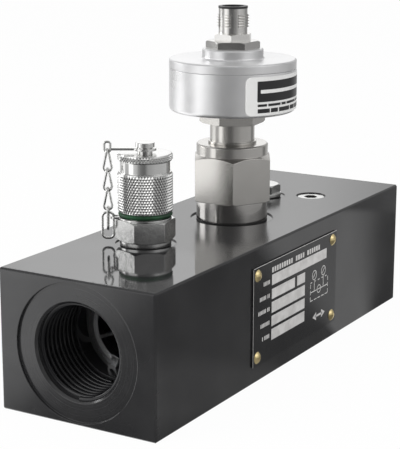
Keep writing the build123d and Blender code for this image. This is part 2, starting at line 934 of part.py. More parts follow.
with BuildPart() as connector_insert:
    with BuildSketch(sensor_section):
        with BuildLine():
            Polyline(
                (0, insert_bottom),
                (insert_radius, insert_bottom),
                (insert_radius, shell_top),
                (insert_rim_diameter / 2, shell_top),
                (insert_rim_diameter / 2, insert_top),
                (insert_radius - insert_wall, insert_top),
                (insert_radius - insert_wall, socket_floor),
                (0, socket_floor),
                close=True,
            )
        make_face()
    revolve(axis=sensor_line)
    with BuildSketch(sensor_plane(insert_bottom)):
        Circle(pin_diameter / 2)
        with PolarLocations(pin_circle / 2, pin_count, start_angle=connector_groove_angle):
            Circle(pin_diameter / 2)
    extrude(amount=insert_floor, mode=Mode.SUBTRACT)
finish(connector_insert, "connector_insert")

with BuildPart() as connector_pins:
    with BuildSketch(sensor_plane(insert_bottom - pin_tail)):
        Circle(pin_diameter / 2)
        with PolarLocations(pin_circle / 2, pin_count, start_angle=connector_groove_angle):
            Circle(pin_diameter / 2)
    extrude(amount=insert_top - pin_recess - insert_bottom + pin_tail)
finish(connector_pins, "connector_pins")

# Test point: body, seal, and the sprung check valve inside it
collar_seat = test_seat + test_seal_gap
collar_shoulder = collar_seat + test_collar_height
hex_bottom = collar_shoulder
hex_top = hex_bottom + test_hex_height
test_thread_radius = test_thread_diameter / 2
test_neck_radius = test_neck_diameter / 2
bore_radius = test_bore_diameter / 2
seat_bottom = test_top - seat_recess - seat_height
poppet_top = seat_bottom - poppet_play
spring_top = poppet_top - poppet_height

with BuildPart() as test_point_seal:
    with BuildSketch(test_plane(test_seat)):
        Circle(test_seal_diameter / 2)
        Circle(test_thread_radius, mode=Mode.SUBTRACT)
    extrude(amount=test_seal_gap)
finish(test_point_seal, "test_point_seal")

test_point_body_blank = crowned_hexagon(
    test_plane(hex_bottom),
    test_hex_across_flats,
    test_hex_height,
    test_hex_chamfer,
    test_collar_chamfer,
    test_hex_corner_angle,
)
with BuildPart() as test_point_body:
    add(test_point_body_blank)
    with BuildSketch(test_section):
        with BuildLine():
            Polyline(
                (0, block_top - test_thread_length),
                (test_thread_radius, block_top - test_thread_length),
                (test_thread_radius, collar_seat),
                (test_collar_diameter / 2, collar_seat),
                (test_collar_diameter / 2, collar_shoulder),
                (test_neck_radius, hex_top),
                (test_neck_radius, test_top),
                (0, test_top),
                close=True,
            )
        make_face()
    revolve(axis=test_line)
    with BuildSketch(test_section):
        with BuildLine():
            Polyline(
                (0, block_top - test_thread_length),
                (test_passage_diameter / 2, block_top - test_thread_length),
                (test_passage_diameter / 2, spring_floor),
                (bore_radius, spring_floor),
                (bore_radius, seat_bottom),
                (seat_diameter / 2, seat_bottom),
                (seat_diameter / 2, test_top),
                (0, test_top),
                close=True,
            )
        make_face()
    revolve(axis=test_line, mode=Mode.SUBTRACT)
finish(test_point_body, "test_point_body")

with BuildPart() as valve_seat:
    with BuildSketch(test_plane(seat_bottom)):
        Circle(seat_diameter / 2)
        Circle(stem_diameter / 2 + stem_fit, mode=Mode.SUBTRACT)
    extrude(amount=seat_height)
finish(valve_seat, "valve_seat")

with BuildPart() as valve_poppet:
    with BuildSketch(test_plane(spring_top)):
        Circle(bore_radius - poppet_play)
    extrude(amount=poppet_height)
    with BuildSketch(test_plane(poppet_top)):
        Circle(stem_diameter / 2)
    extrude(amount=test_top - stem_recess - poppet_top)
finish(valve_poppet, "valve_poppet")

spring_radius = bore_radius - spring_play - spring_wire / 2
spring_base = spring_floor + spring_play + spring_wire / 2
spring_travel = spring_top - spring_play - spring_wire / 2 - spring_base
with BuildPart() as valve_spring:
    with BuildLine():
        coil = Helix(
            pitch=spring_travel / spring_coils,
            height=spring_travel,
            radius=spring_radius,
            center=(test_x, test_y, spring_base),
        )
    with BuildSketch(Plane(origin=coil @ 0, z_dir=coil % 0)):
        Circle(spring_wire / 2)
    sweep(path=coil, is_frenet=True)
finish(valve_spring, "valve_spring")

# Dust cap: knurled sleeve, its seals and the stud that carries the chain's tab
cap_radius = cap_diameter / 2
grip_top = cap_bottom + cap_grip_height
band_top = grip_top + cap_band_height
cap_top = band_top + cap_flange_height
cap_ceiling = cap_top - cap_roof
waist_radius = stud_waist_diameter / 2
waist_top = cap_top + stud_waist_height

with BuildPart() as dust_cap:
    with BuildSketch(test_section):
        with BuildLine():
            Polyline(
                (test_neck_radius + cap_thread_fit, cap_bottom),
                (cap_radius - cap_edge_chamfer, cap_bottom),
                (cap_radius, cap_bottom + cap_edge_chamfer),
                (cap_radius, grip_top - cap_edge_chamfer),
                (cap_radius - cap_edge_chamfer, grip_top),
                (cap_band_diameter / 2, grip_top),
                (cap_band_diameter / 2, band_top),
                (cap_radius - cap_edge_chamfer, band_top),
                (cap_radius, band_top + cap_edge_chamfer),
                (cap_radius, cap_top - cap_edge_chamfer),
                (cap_radius - cap_edge_chamfer, cap_top),
                (waist_radius, cap_top),
                (waist_radius, cap_top - stud_shank_length),
                (0, cap_top - stud_shank_length),
                (0, cap_ceiling),
                (test_neck_radius + cap_thread_fit, cap_ceiling),
                close=True,
            )
        make_face()
    revolve(axis=test_line)
finish(dust_cap, "dust_cap")

with BuildPart() as cap_seal:
    with BuildSketch(test_plane(test_top + cap_seal_gap)):
        Circle(test_neck_radius)
        Circle(test_neck_radius - cap_seal_width, mode=Mode.SUBTRACT)
    extrude(amount=cap_ceiling - test_top - cap_seal_gap)
finish(cap_seal, "cap_seal")

with BuildPart() as dust_ring:
    with BuildSketch(test_section):
        with Locations((test_neck_radius + dust_ring_wire / 2, cap_bottom - dust_ring_wire / 2)):
            Circle(dust_ring_wire / 2)
    revolve(axis=test_line)
finish(dust_ring, "dust_ring")

with BuildPart() as cap_stud:
    with BuildSketch(test_section):
        with BuildLine():
            Polyline(
                (0, cap_top - stud_shank_length),
                (waist_radius, cap_top - stud_shank_length),
                (waist_radius, waist_top),
                (stud_head_diameter / 2, waist_top),
                (stud_head_diameter / 2, waist_top + stud_head_height),
                (0, waist_top + stud_head_height),
                close=True,
            )
        make_face()
    revolve(axis=test_line)
    crown_edges = cap_stud.edges().filter_by(GeomType.CIRCLE).group_by(Axis.Z)[-1]
    fillet(crown_edges, stud_edge_radius)
finish(cap_stud, "cap_stud")

# Chain of bent wire links, hooked to the tab above and looped through the strap's eye below.
# The hanging links are twisted a quarter turn from end to end. The two lowest are flat,
# nested across each other, and spread apart as the cap is screwed up.
reach_x = cos(radians(chain_direction))
reach_y = sin(radians(chain_direction))
outward = Vector(reach_x, reach_y, 0)
sideways = Vector(-reach_y, reach_x, 0)
chain_foot = Vector(test_x, test_y, 0) + outward * chain_reach
half_link = (link_length - link_wire) / 2
link_pitch = link_length - 2 * link_wire - link_play
strap_bottom = hex_top + strap_seat_gap
strap_top = strap_bottom + strap_thickness
end_bar_z = strap_top + end_link_lift + link_wire / 2
end_link_z = end_bar_z - (end_link_length - link_wire) / 2
nested_link_z = end_bar_z + 2 * (link_wire + link_play) - half_link


def chain_link(height, top_direction, bottom_direction, length, width):
    """A closed wire link with its upper and lower ends lying along two directions."""
    bar = (width - link_wire) / 2
    centre = chain_foot + Vector(0, 0, height)
    rise = Vector(0, 0, (length - link_wire) / 2)
    with BuildPart() as link:
        with BuildLine():
            half_loop = FilletPolyline(
                centre + rise,
                centre + rise + top_direction * bar,
                centre - rise + bottom_direction * bar,
                centre - rise,
                radius=bar * link_corner_share,
            )
        with BuildSketch(Plane(origin=half_loop @ 0, z_dir=half_loop % 0)):
            Circle(link_wire / 2)
        sweep(path=half_loop)
        add(link.part.rotate(Axis(centre, (0, 0, 1)), 180))
    return link


lowest_hanging_z = nested_link_z + link_pitch
for number in range(hanging_links):
    height = lowest_hanging_z + (hanging_links - 1 - number) * link_pitch
    hanging_link = chain_link(height, sideways, outward, link_length, link_width)
    finish(hanging_link, f"chain_link_{number + 1}")
nested_link = chain_link(nested_link_z, sideways, sideways, link_length, link_width)
finish(nested_link, f"chain_link_{hanging_links + 1}")
end_link = chain_link(end_link_z, outward, outward, end_link_length, end_link_width)
finish(end_link, "chain_end_link")

# Strap under the cap: a washer round the test point with an eye for the end link
strap_inner = test_neck_radius + strap_seat_gap
eye_radius = strap_eye_diameter / 2
rim_reach = chain_reach - link_wire - link_play
eye_reach = rim_reach - strap_eye_rim / 2 - eye_radius

with BuildPart() as chain_strap:
    with BuildSketch(test_plane(strap_bottom)):
        Circle(strap_inner + strap_ring_width)
        with PolarLocations(eye_reach, 1, start_angle=chain_direction):
            Circle(eye_radius + strap_eye_rim)
        with PolarLocations(eye_reach / 2, 1, start_angle=chain_direction):
            Rectangle(eye_reach, 2 * (eye_radius + strap_eye_rim))
        Circle(strap_inner, mode=Mode.SUBTRACT)
        with PolarLocations(eye_reach, 1, start_angle=chain_direction):
            Circle(eye_radius, mode=Mode.SUBTRACT)
    extrude(amount=strap_thickness)
finish(chain_strap, "chain_strap")

# Tab that turns on the cap's stud, ending in an upright eye that carries the top link
tab_bottom = cap_top + tab_height
tab_middle = tab_bottom + tab_thickness / 2
top_bar_z = lowest_hanging_z + (hanging_links - 1) * link_pitch + half_link
eye_low_z = top_bar_z - link_wire - link_play / 2
eye_half_height = (tab_eye_height - link_wire) / 2
eye_half_width = (tab_eye_width - link_wire) / 2
tab_ring_inner = waist_radius + tab_ring_gap
tab_end = chain_reach - eye_half_width

with BuildPart() as cap_tab:
    with BuildSketch(test_plane(tab_bottom)):
        Circle(tab_ring_inner + tab_ring_width)
        with PolarLocations(tab_end / 2, 1, start_angle=chain_direction):
            Rectangle(tab_end, tab_width)
        Circle(tab_ring_inner, mode=Mode.SUBTRACT)
    extrude(amount=tab_thickness)
    eye_centre = chain_foot + Vector(0, 0, eye_low_z + eye_half_height)
    with BuildLine():
        eye_path = FilletPolyline(
            eye_centre - outward * eye_half_width,
            eye_centre - outward * eye_half_width + Vector(0, 0, eye_half_height),
            eye_centre + outward * eye_half_width + Vector(0, 0, eye_half_height),
            eye_centre + outward * eye_half_width,
            radius=eye_half_width * link_corner_share,
        )
    with BuildSketch(Plane(origin=eye_path @ 0, z_dir=eye_path % 0)):
        Circle(link_wire / 2)
    upper_eye = sweep(path=eye_path)
    add(upper_eye.rotate(Axis(eye_centre, (-reach_y, reach_x, 0)), 180))
finish(cap_tab, "cap_tab")

# Plug in the temperature port, on its seal
temperature_bottom = temperature_seat + temperature_seal_height
flange_top = temperature_bottom + temperature_flange_height
temperature_thread_radius = temperature_thread_diameter / 2

with BuildPart() as temperature_seal:
    with BuildSketch(Plane.XY.offset(temperature_seat)):
        with Locations((temperature_x, temperature_y)):
            Circle(temperature_seal_diameter / 2)
            Circle(temperature_thread_radius, mode=Mode.SUBTRACT)
    extrude(amount=temperature_seal_height)
finish(temperature_seal, "temperature_seal")

temperature_plug_blank = crowned_hexagon(
    Plane.XY.offset(flange_top).move(Location((temperature_x, temperature_y, 0))),
    temperature_hex_across_flats,
    temperature_hex_height,
    temperature_hex_chamfer,
    hex_edge_break,
    0,
)
with BuildPart() as temperature_plug:
    add(temperature_plug_blank)
    with BuildSketch(temperature_section):
        with BuildLine():
            Polyline(
                (0, block_top - temperature_thread_length),
                (temperature_thread_radius, block_top - temperature_thread_length),
                (temperature_thread_radius, temperature_bottom),
                (temperature_flange_diameter / 2, temperature_bottom),
                (temperature_flange_diameter / 2, flange_top),
                (0, flange_top),
                close=True,
            )
        make_face()
    revolve(axis=temperature_line)
finish(temperature_plug, "temperature_plug")

# Sunk plug with a hexagon socket
with BuildPart() as sunk_plug:
    with BuildSketch(Plane.XY.offset(sunk_seat)):
        with Locations((sunk_x, sunk_y)):
            Circle(sunk_thread_diameter / 2)
    extrude(amount=-sunk_thread_length)
    chamfer(sunk_plug.faces().sort_by(Axis.Z)[-1].edges(), sunk_edge_chamfer)
    with BuildSketch(Plane.XY.offset(sunk_seat)):
        with Locations((sunk_x, sunk_y)):
            RegularPolygon(radius=sunk_socket_across_flats / 2, side_count=6, major_radius=False)
    extrude(amount=-sunk_socket_depth, mode=Mode.SUBTRACT)
finish(sunk_plug, "sunk_plug")

# Nameplate on the long side and the four dome rivets that hold it
with BuildPart() as nameplate:
    with BuildSketch(side_plane):
        with Locations((plate_x, plate_z)):
            RectangleRounded(plate_length, plate_height, plate_corner)
            with GridLocations(rivet_spacing_x, rivet_spacing_z, 2, 2):
                Circle(rivet_shank_diameter / 2, mode=Mode.SUBTRACT)
    extrude(amount=plate_thickness)
finish(nameplate, "nameplate")

dome_radius = (rivet_head_diameter**2 / 4 + rivet_head_height**2) / (2 * rivet_head_height)
plate_face = side_plane.offset(plate_thickness)
with BuildPart() as nameplate_rivets:
    with BuildSketch(plate_face):
        with Locations((plate_x, plate_z)):
            with GridLocations(rivet_spacing_x, rivet_spacing_z, 2, 2):
                Circle(rivet_head_diameter / 2)
    extrude(amount=rivet_head_height)
    with Locations(plate_face.offset(rivet_head_height - dome_radius)):
        with Locations((plate_x, plate_z)):
            with GridLocations(rivet_spacing_x, rivet_spacing_z, 2, 2):
                Sphere(dome_radius, mode=Mode.INTERSECT)
    with BuildSketch(plate_face):
        with Locations((plate_x, plate_z)):
            with GridLocations(rivet_spacing_x, rivet_spacing_z, 2, 2):
                Circle(rivet_shank_diameter / 2)
    extrude(amount=-(plate_thickness + rivet_shank_length))
finish(nameplate_rivets, "nameplate_rivets")
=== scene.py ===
import math

import bpy
from mathutils import Matrix, Vector


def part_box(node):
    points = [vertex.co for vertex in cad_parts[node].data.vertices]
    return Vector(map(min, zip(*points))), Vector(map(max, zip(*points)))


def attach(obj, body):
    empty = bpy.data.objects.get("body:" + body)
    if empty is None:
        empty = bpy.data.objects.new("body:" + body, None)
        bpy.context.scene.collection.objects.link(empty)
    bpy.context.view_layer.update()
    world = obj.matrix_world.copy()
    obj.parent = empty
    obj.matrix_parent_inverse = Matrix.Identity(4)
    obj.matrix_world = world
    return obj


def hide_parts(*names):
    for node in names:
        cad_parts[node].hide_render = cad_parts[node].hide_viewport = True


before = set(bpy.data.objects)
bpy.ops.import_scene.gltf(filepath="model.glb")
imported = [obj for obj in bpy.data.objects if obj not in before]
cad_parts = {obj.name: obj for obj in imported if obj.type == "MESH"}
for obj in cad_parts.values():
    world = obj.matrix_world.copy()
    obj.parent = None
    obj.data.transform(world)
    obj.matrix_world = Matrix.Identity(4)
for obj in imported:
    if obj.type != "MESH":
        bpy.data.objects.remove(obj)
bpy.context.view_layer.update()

# The block: one bar of aluminium, milled, drilled from both ends and black anodised. Its faces are
# satin and near mirror bright at a low angle, its top is rubbed a little matt from the test point
# on, and the sealing face round each port keeps the lathe's fine rings.


def shader_of(material):
    """The surface shader of a finish."""
    return material.node_tree.nodes["Principled BSDF"]


def new_finish(name, colour, metallic, roughness):
    """A new material with its shader's own values set."""
    material = bpy.data.materials.new(name)
    material.use_nodes = True
    shader = shader_of(material)
    shader.inputs["Base Color"].default_value = (*colour, 1)
    shader.inputs["Metallic"].default_value = metallic
    shader.inputs["Roughness"].default_value = roughness
    return material


def finish_nodes(material, *names):
    """Give CAD pieces a finish."""
    for name in names:
        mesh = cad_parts[name].data
        mesh.materials.clear()
        mesh.materials.append(material)


def object_point(tree, scale, centre=(0, 0, 0)):
    """Object coordinates measured from a centre and stretched."""
    place = tree.nodes.new("ShaderNodeTexCoord")
    stretch = tree.nodes.new("ShaderNodeMapping")
    stretch.inputs["Location"].default_value = [-c * s for c, s in zip(centre, scale)]
    stretch.inputs["Scale"].default_value = scale
    tree.links.new(place.outputs["Object"], stretch.inputs["Vector"])
    return stretch.outputs["Vector"]


def parts_of(tree, vector):
    """The X, Y and Z of a vector."""
    split = tree.nodes.new("ShaderNodeSeparateXYZ")
    tree.links.new(vector, split.inputs["Vector"])
    return split.outputs["X"], split.outputs["Y"], split.outputs["Z"]


def length_of(tree, vector):
    """How long a vector is."""
    measure = tree.nodes.new("ShaderNodeVectorMath")
    measure.operation = "LENGTH"
    tree.links.new(vector, measure.inputs[0])
    return measure.outputs["Value"]


def cloud(tree, scale, detail=4, centre=(0, 0, 0)):
    """Soft noise with its own stretch, as one value."""
    noise = tree.nodes.new("ShaderNodeTexNoise")
    noise.inputs["Scale"].default_value = 1
    noise.inputs["Detail"].default_value = detail
    tree.links.new(object_point(tree, scale, centre), noise.inputs["Vector"])
    return noise.outputs["Fac"]


def between(tree, value, low, high, start=0.35, end=0.65):
    """Spread a value from the range start to end over the range low to high."""
    spread = tree.nodes.new("ShaderNodeMapRange")
    spread.inputs["From Min"].default_value = start
    spread.inputs["From Max"].default_value = end
    spread.inputs["To Min"].default_value = low
    spread.inputs["To Max"].default_value = high
    tree.links.new(value, spread.inputs["Value"])
    return spread.outputs["Result"]


def worked_out(tree, operation, first, second=0.0):
    """One sum on one or two values, each a number or the output of a node."""
    sum_node = tree.nodes.new("ShaderNodeMath")
    sum_node.operation = operation
    for socket, value in zip(sum_node.inputs, (first, second)):
        if isinstance(value, (int, float)):
            socket.default_value = value
        else:
            tree.links.new(value, socket)
    return sum_node.outputs["Value"]


def blended(tree, share, first, second):
    """Two colours mixed by a share from 0 to 1, each a tuple or the output of a node."""
    blend = tree.nodes.new("ShaderNodeMix")
    blend.data_type = "RGBA"
    tree.links.new(share, blend.inputs["Factor"])
    for label, colour in (("A", first), ("B", second)):
        if isinstance(colour, tuple):
            blend.inputs[label].default_value = (*colour, 1)
        else:
            tree.links.new(colour, blend.inputs[label])
    return blend.outputs["Result"]


def drive(material, label, value):
    """Let a value drive one of the shader's inputs."""
    material.node_tree.links.new(value, shader_of(material).inputs[label])


def set_relief(material, value, depth, strength):
    """Raise and sink the surface by a value, on top of any relief it has."""
    tree = material.node_tree
    normal = shader_of(material).inputs["Normal"]
    relief = tree.nodes.new("ShaderNodeBump")
    relief.inputs["Distance"].default_value = depth
    relief.inputs["Strength"].default_value = strength
    tree.links.new(value, relief.inputs["Height"])
    if normal.is_linked:
        tree.links.new(normal.links[0].from_socket, relief.inputs["Normal"])
    tree.links.new(relief.outputs["Normal"], normal)


def add_grain(material, scale, detail, depth, strength):
    """Fine relief, the same in all directions."""
    grain = cloud(material.node_tree, (scale, scale, scale), detail)
    set_relief(material, grain, depth, strength)


def round_edges(material, radius):
    """Let the light catch the edges as if they were broken to a small radius."""
    rounding = material.node_tree.nodes.new("ShaderNodeBevel")
    rounding.samples = 6
    rounding.inputs["Radius"].default_value = radius
    drive(material, "Normal", rounding.outputs["Normal"])


anodised = new_finish("black_anodised", (0.02, 0.02, 0.021), 0, 0.12)
shader_of(anodised).inputs["IOR"].default_value = 1.6
round_edges(anodised, 0.00035)
block_tree = anodised.node_tree
block_low, block_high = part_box("meter_block")
flow_centre = (0, 0, block_high.z / 2)
along, across, up = parts_of(block_tree, object_point(block_tree, (1, 1, 1)))

sealing_face_depth = 0.001
sealing_face_margin = 0.0006
sealing_face = block_high.x - sealing_face_depth
end_distance = worked_out(block_tree, "ABSOLUTE", along)
below_end = worked_out(block_tree, "LESS_THAN", end_distance, sealing_face + sealing_face_margin)
near_end = worked_out(block_tree, "GREATER_THAN", end_distance, sealing_face - sealing_face_margin)
on_sealing_face = worked_out(block_tree, "MULTIPLY", below_end, near_end)
lathe_rings = block_tree.nodes.new("ShaderNodeTexNoise")
lathe_rings.noise_dimensions = "1D"
lathe_rings.inputs["Scale"].default_value = 1400
lathe_rings.inputs["Detail"].default_value = 3
from_axis = length_of(block_tree, object_point(block_tree, (0, 1, 1), flow_centre))
block_tree.links.new(from_axis, lathe_rings.inputs["W"])
ring_height = worked_out(block_tree, "MULTIPLY", lathe_rings.outputs["Fac"], on_sealing_face)
add_grain(anodised, 2500, 2, 0.000002, 0.35)
set_relief(anodised, cloud(block_tree, (60, 2200, 2200), 3), 0.0000015, 0.3)
set_relief(anodised, ring_height, 0.00003, 0.6)

edge_reach = 0.00025
rubbed_from = -0.055
rubbed_fully = -0.042
rubbed_roughness = 0.12
on_top = worked_out(block_tree, "GREATER_THAN", up, block_high.z - edge_reach)
rubbed = between(block_tree, along, 0, rubbed_roughness, rubbed_from, rubbed_fully)
rubbed_top = worked_out(block_tree, "MULTIPLY", on_top, rubbed)
ring_roughness = between(block_tree, lathe_rings.outputs["Fac"], 0.02, 0.22)
rough_rings = worked_out(block_tree, "MULTIPLY", on_sealing_face, ring_roughness)
rougher_there = worked_out(block_tree, "ADD", rough_rings, rubbed_top)
handling = cloud(block_tree, (40, 40, 40))
satin = between(block_tree, handling, 0.04, 0.075)
drive(anodised, "Roughness", worked_out(block_tree, "ADD", rougher_there, satin))

# The top front edge, the one towards the camera, gets light grey specks: partly wear through the
# anodising, partly a painted edge highlight.
out_front = worked_out(block_tree, "LESS_THAN", across, block_low.y + edge_reach)
on_front_edge = worked_out(block_tree, "MULTIPLY", on_top, out_front)
nick_and_glint_specks = between(block_tree, cloud(block_tree, (500, 900, 900), 3), 0, 1, start=0.56, end=0.64)
edge_wear_and_highlight = worked_out(block_tree, "MULTIPLY", on_front_edge, nick_and_glint_specks)
handled = between(block_tree, handling, 0, 1)
black_shade = blended(block_tree, handled, (0.014, 0.014, 0.015), (0.026, 0.026, 0.027))
drive(anodised, "Base Color", blended(block_tree, edge_wear_and_highlight, black_shade, (0.5, 0.5, 0.5)))
finish_nodes(anodised, "meter_block")

# The pipe threads in both ports: cut with a tap in the black block, so they are anodised with it.
# Each is one ridge wound along the wall at the one inch pipe thread's pitch.


def socket_named(modifier, name):
    """The identifier of a tree's input, which is how a modifier takes its value."""
    for item in modifier.node_group.interface.items_tree:
        if item.item_type == "SOCKET" and item.in_out == "INPUT" and item.name == name:
            return item.identifier


def new_tree(name, sizes):
    """An empty geometry tree with named sizes and a material."""
    tree = bpy.data.node_groups.new(name, "GeometryNodeTree")
    for label, kind in sizes.items():
        tree.interface.new_socket(label, in_out="INPUT", socket_type=kind)
    tree.interface.new_socket("Material", in_out="INPUT", socket_type="NodeSocketMaterial")
    tree.interface.new_socket("Geometry", in_out="OUTPUT", socket_type="NodeSocketGeometry")
    return tree, tree.nodes.new("NodeGroupInput"), tree.nodes.new("NodeGroupOutput")


def end_tree(tree, start, end, geometry):
    """Make the tree's instances real, paint them and hand them out."""
    real = tree.nodes.new("GeometryNodeRealizeInstances")
    painted = tree.nodes.new("GeometryNodeSetMaterial")
    tree.links.new(geometry, real.inputs["Geometry"])
    tree.links.new(real.outputs["Geometry"], painted.inputs["Geometry"])
    tree.links.new(start.outputs["Material"], painted.inputs["Material"])
    tree.links.new(painted.outputs["Geometry"], end.inputs["Geometry"])


def grown(name, tree, values):
    """Run a tree with its values and keep the result as a plain piece."""
    piece = bpy.data.objects.new(name, bpy.data.meshes.new(name))
    bpy.context.scene.collection.objects.link(piece)
    modifier = piece.modifiers.new(name, "NODES")
    modifier.node_group = tree
    for label, value in values.items():
        modifier[socket_named(modifier, label)] = value
    seen = piece.evaluated_get(bpy.context.evaluated_depsgraph_get())
    mesh = bpy.data.meshes.new_from_object(seen)
    piece.modifiers.clear()
    piece.data = mesh
    return piece


thread_tree, thread_in, thread_out = new_tree(
    "wound_thread",
    {
        "Radius": "NodeSocketFloat",
        "Ridge": "NodeSocketVector",
        "Turns": "NodeSocketFloat",
        "Length": "NodeSocketFloat",
        "Turned": "NodeSocketVector",
        "Place": "NodeSocketVector",
    },
)
winding = thread_tree.nodes.new("GeometryNodeCurveSpiral")
winding.inputs["Resolution"].default_value = 72
for label, size in (
    ("Rotations", "Turns"),
    ("Start Radius", "Radius"),
    ("End Radius", "Radius"),
    ("Height", "Length"),
):
    thread_tree.links.new(thread_in.outputs[size], winding.inputs[label])
upright = thread_tree.nodes.new("GeometryNodeSetCurveNormal")
upright.mode = "Z_UP"
ridge = thread_tree.nodes.new("GeometryNodeCurvePrimitiveCircle")
ridge.inputs["Resolution"].default_value = 12
ridge.inputs["Radius"].default_value = 1.0
ridge_size = thread_tree.nodes.new("GeometryNodeTransform")
swept = thread_tree.nodes.new("GeometryNodeCurveToMesh")
swept.inputs["Fill Caps"].default_value = True
laid = thread_tree.nodes.new("GeometryNodeTransform")
thread_tree.links.new(winding.outputs["Curve"], upright.inputs["Curve"])
thread_tree.links.new(upright.outputs["Curve"], swept.inputs["Curve"])
thread_tree.links.new(ridge.outputs["Curve"], ridge_size.inputs["Geometry"])
thread_tree.links.new(thread_in.outputs["Ridge"], ridge_size.inputs["Scale"])
thread_tree.links.new(ridge_size.outputs["Geometry"], swept.inputs["Profile Curve"])
thread_tree.links.new(swept.outputs["Mesh"], laid.inputs["Geometry"])
thread_tree.links.new(thread_in.outputs["Turned"], laid.inputs["Rotation"])
thread_tree.links.new(thread_in.outputs["Place"], laid.inputs["Translation"])
end_tree(thread_tree, thread_in, thread_out, laid.outputs["Geometry"])

thread_black = new_finish("tapped_black", (0.008, 0.008, 0.009), 0, 0.16)
add_grain(thread_black, 1200, 2, 0.00001, 0.4)
thread_mouth = 0.0927
thread_length = 0.0185
for port, first_turn in (("inlet", -thread_mouth), ("outlet", thread_mouth - thread_length)):
    port_thread = grown(
        f"{port}_port_thread",
        thread_tree,
        {
            "Radius": 0.0166,
            "Ridge": (0.00125, 0.00085, 1.0),
            "Turns": 8.0,
            "Length": thread_length,
            "Turned": (0, math.pi / 2, 0),
            "Place": (first_turn, 0, flow_centre[2]),
            "Material": thread_black,
        },
    )
    port_thread.data.shade_smooth()
    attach(port_thread, "meter")

# The straighteners, rotor and clips in the flow path: machined stainless steel, and ground carbide
# for the shaft and its bushes. Only the inlet vanes are seen, as bright edges in the dark bore.


def set_shade(material, value, dark, light):
    """Vary the colour between two shades by a value from 0 to 1."""
    drive(material, "Base Color", blended(material.node_tree, value, dark, light))


def turned_metal(name, colour, roughness, centre, spread=0.05, depth=0.000003,
                 broken_edge=0.0003, metallic=1, stretch=0.6):
    """Metal turned about an upright axis, with fine level tool marks that stretch its gloss."""
    ring_pitch = 0.0007
    material = new_finish(name, colour, metallic, roughness)
    tree = material.node_tree
    round_edges(material, broken_edge)
    tool_marks = cloud(tree, (15, 15, 1 / ring_pitch), 3, centre)
    wear = cloud(tree, (90, 90, 90), 4, centre)
    set_relief(material, tool_marks, depth, 0.6)
    drive(material, "Roughness", between(tree, wear, roughness - spread, roughness + spread))
    shader_of(material).inputs["Anisotropic"].default_value = stretch
    shader_of(material).inputs["Anisotropic Rotation"].default_value = 0.25
    level = tree.nodes.new("ShaderNodeTangent")
    level.direction_type = "RADIAL"
    level.axis = "Z"
    drive(material, "Tangent", level.outputs["Tangent"])
    worn_colour = tuple(0.93 * c for c in colour)
    set_shade(material, between(tree, wear, 0, 1), worn_colour, colour)
    return material


# The flow path steel is paler than the other stainless: painted light, so that the vanes show as
# bright edges in the dark bore.
flow_steel_painted_light = turned_metal("flow_path_steel_painted_light", (0.82, 0.82, 0.83), 0.34, flow_centre)
carbide = turned_metal("ground_carbide", (0.33, 0.33, 0.35), 0.18, flow_centre)
finish_nodes(flow_steel_painted_light, "inlet_straightener", "outlet_straightener", "turbine_rotor")
finish_nodes(flow_steel_painted_light, "inlet_retaining_clip", "outlet_retaining_clip")
finish_nodes(carbide, "inlet_bearing_bush", "outlet_bearing_bush", "rotor_shaft")

# The pickup's sleeve, union nut, neck and thin lock nut: turned and milled stainless steel, a
# little warm in colour. The sleeve seals on the block with a thin black ring.

sensor_centre = (0.008, 0, 0)
stainless = turned_metal("stainless_steel", (0.60, 0.585, 0.56), 0.22, sensor_centre,
                         spread=0.03, depth=0.0000015)
sleeve_steel = turned_metal("sleeve_steel", (0.66, 0.645, 0.625), 0.18, sensor_centre)
black_rubber = new_finish("black_rubber", (0.012, 0.012, 0.012), 0, 0.55)
add_grain(black_rubber, 1500, 3, 0.00001, 0.5)
finish_nodes(stainless, "union_nut", "pickup_probe", "head_lock_nut")
finish_nodes(sleeve_steel, "pickup_sleeve")
finish_nodes(black_rubber, "sleeve_seal", "probe_seal", "lid_seal", "cap_seal")
finish_nodes(black_rubber, "test_point_seal", "temperature_seal")

# What the probe and the head hold: a copper coil on its pole piece with a magnet behind it, and a
# green board on three pillars with its screws.


def mottle(material, scale, detail, dark, light):
    """Let the colour drift softly between two shades."""
    drift = cloud(material.node_tree, (scale, scale, scale), detail)
    set_shade(material, between(material.node_tree, drift, 0, 1), dark, light)


copper = new_finish("copper_winding", (0.62, 0.29, 0.16), 1, 0.3)
set_relief(copper, cloud(copper.node_tree, (40, 40, 5000), 2, sensor_centre), 0.00003, 0.8)
magnet = new_finish("sintered_magnet", (0.25, 0.25, 0.26), 1, 0.45)
add_grain(magnet, 3000, 3, 0.00001, 0.6)
board_green = new_finish("board_green", (0.02, 0.12, 0.05), 0, 0.35)
mottle(board_green, 400, 2, (0.015, 0.09, 0.04), (0.03, 0.16, 0.07))
finish_nodes(copper, "pickup_coil")
finish_nodes(magnet, "pickup_magnet")
finish_nodes(board_green, "circuit_board")
finish_nodes(flow_steel_painted_light, "pole_piece", "head_inner_nut", "board_screws")

# The head: a turned aluminium cup and lid, fine satin and clear anodised, pale all over. The
# anodising takes away some of the bare metal's gloss, so neither is fully metallic.

pale_aluminium = turned_metal("pale_aluminium", (0.81, 0.81, 0.815), 0.3, sensor_centre,
                              spread=0.03, depth=0.0000015, metallic=0.8, stretch=0.3)
# The lid's copy of the finish is a darker grey: painted shade that keeps its brightly lit top from
# going white.
lid_aluminium_painted_shade = turned_metal("lid_aluminium_painted_shade", (0.75, 0.75, 0.755), 0.33, sensor_centre,
                             spread=0.03, metallic=0.75, stretch=0.3)
finish_nodes(pale_aluminium, "head_housing")
finish_nodes(lid_aluminium_painted_shade, "head_lid")

# The wrap label: satin white foil with rounded corners, stuck round the head. It carries a black
# band with a white stripe, and two rows of plain black bars.


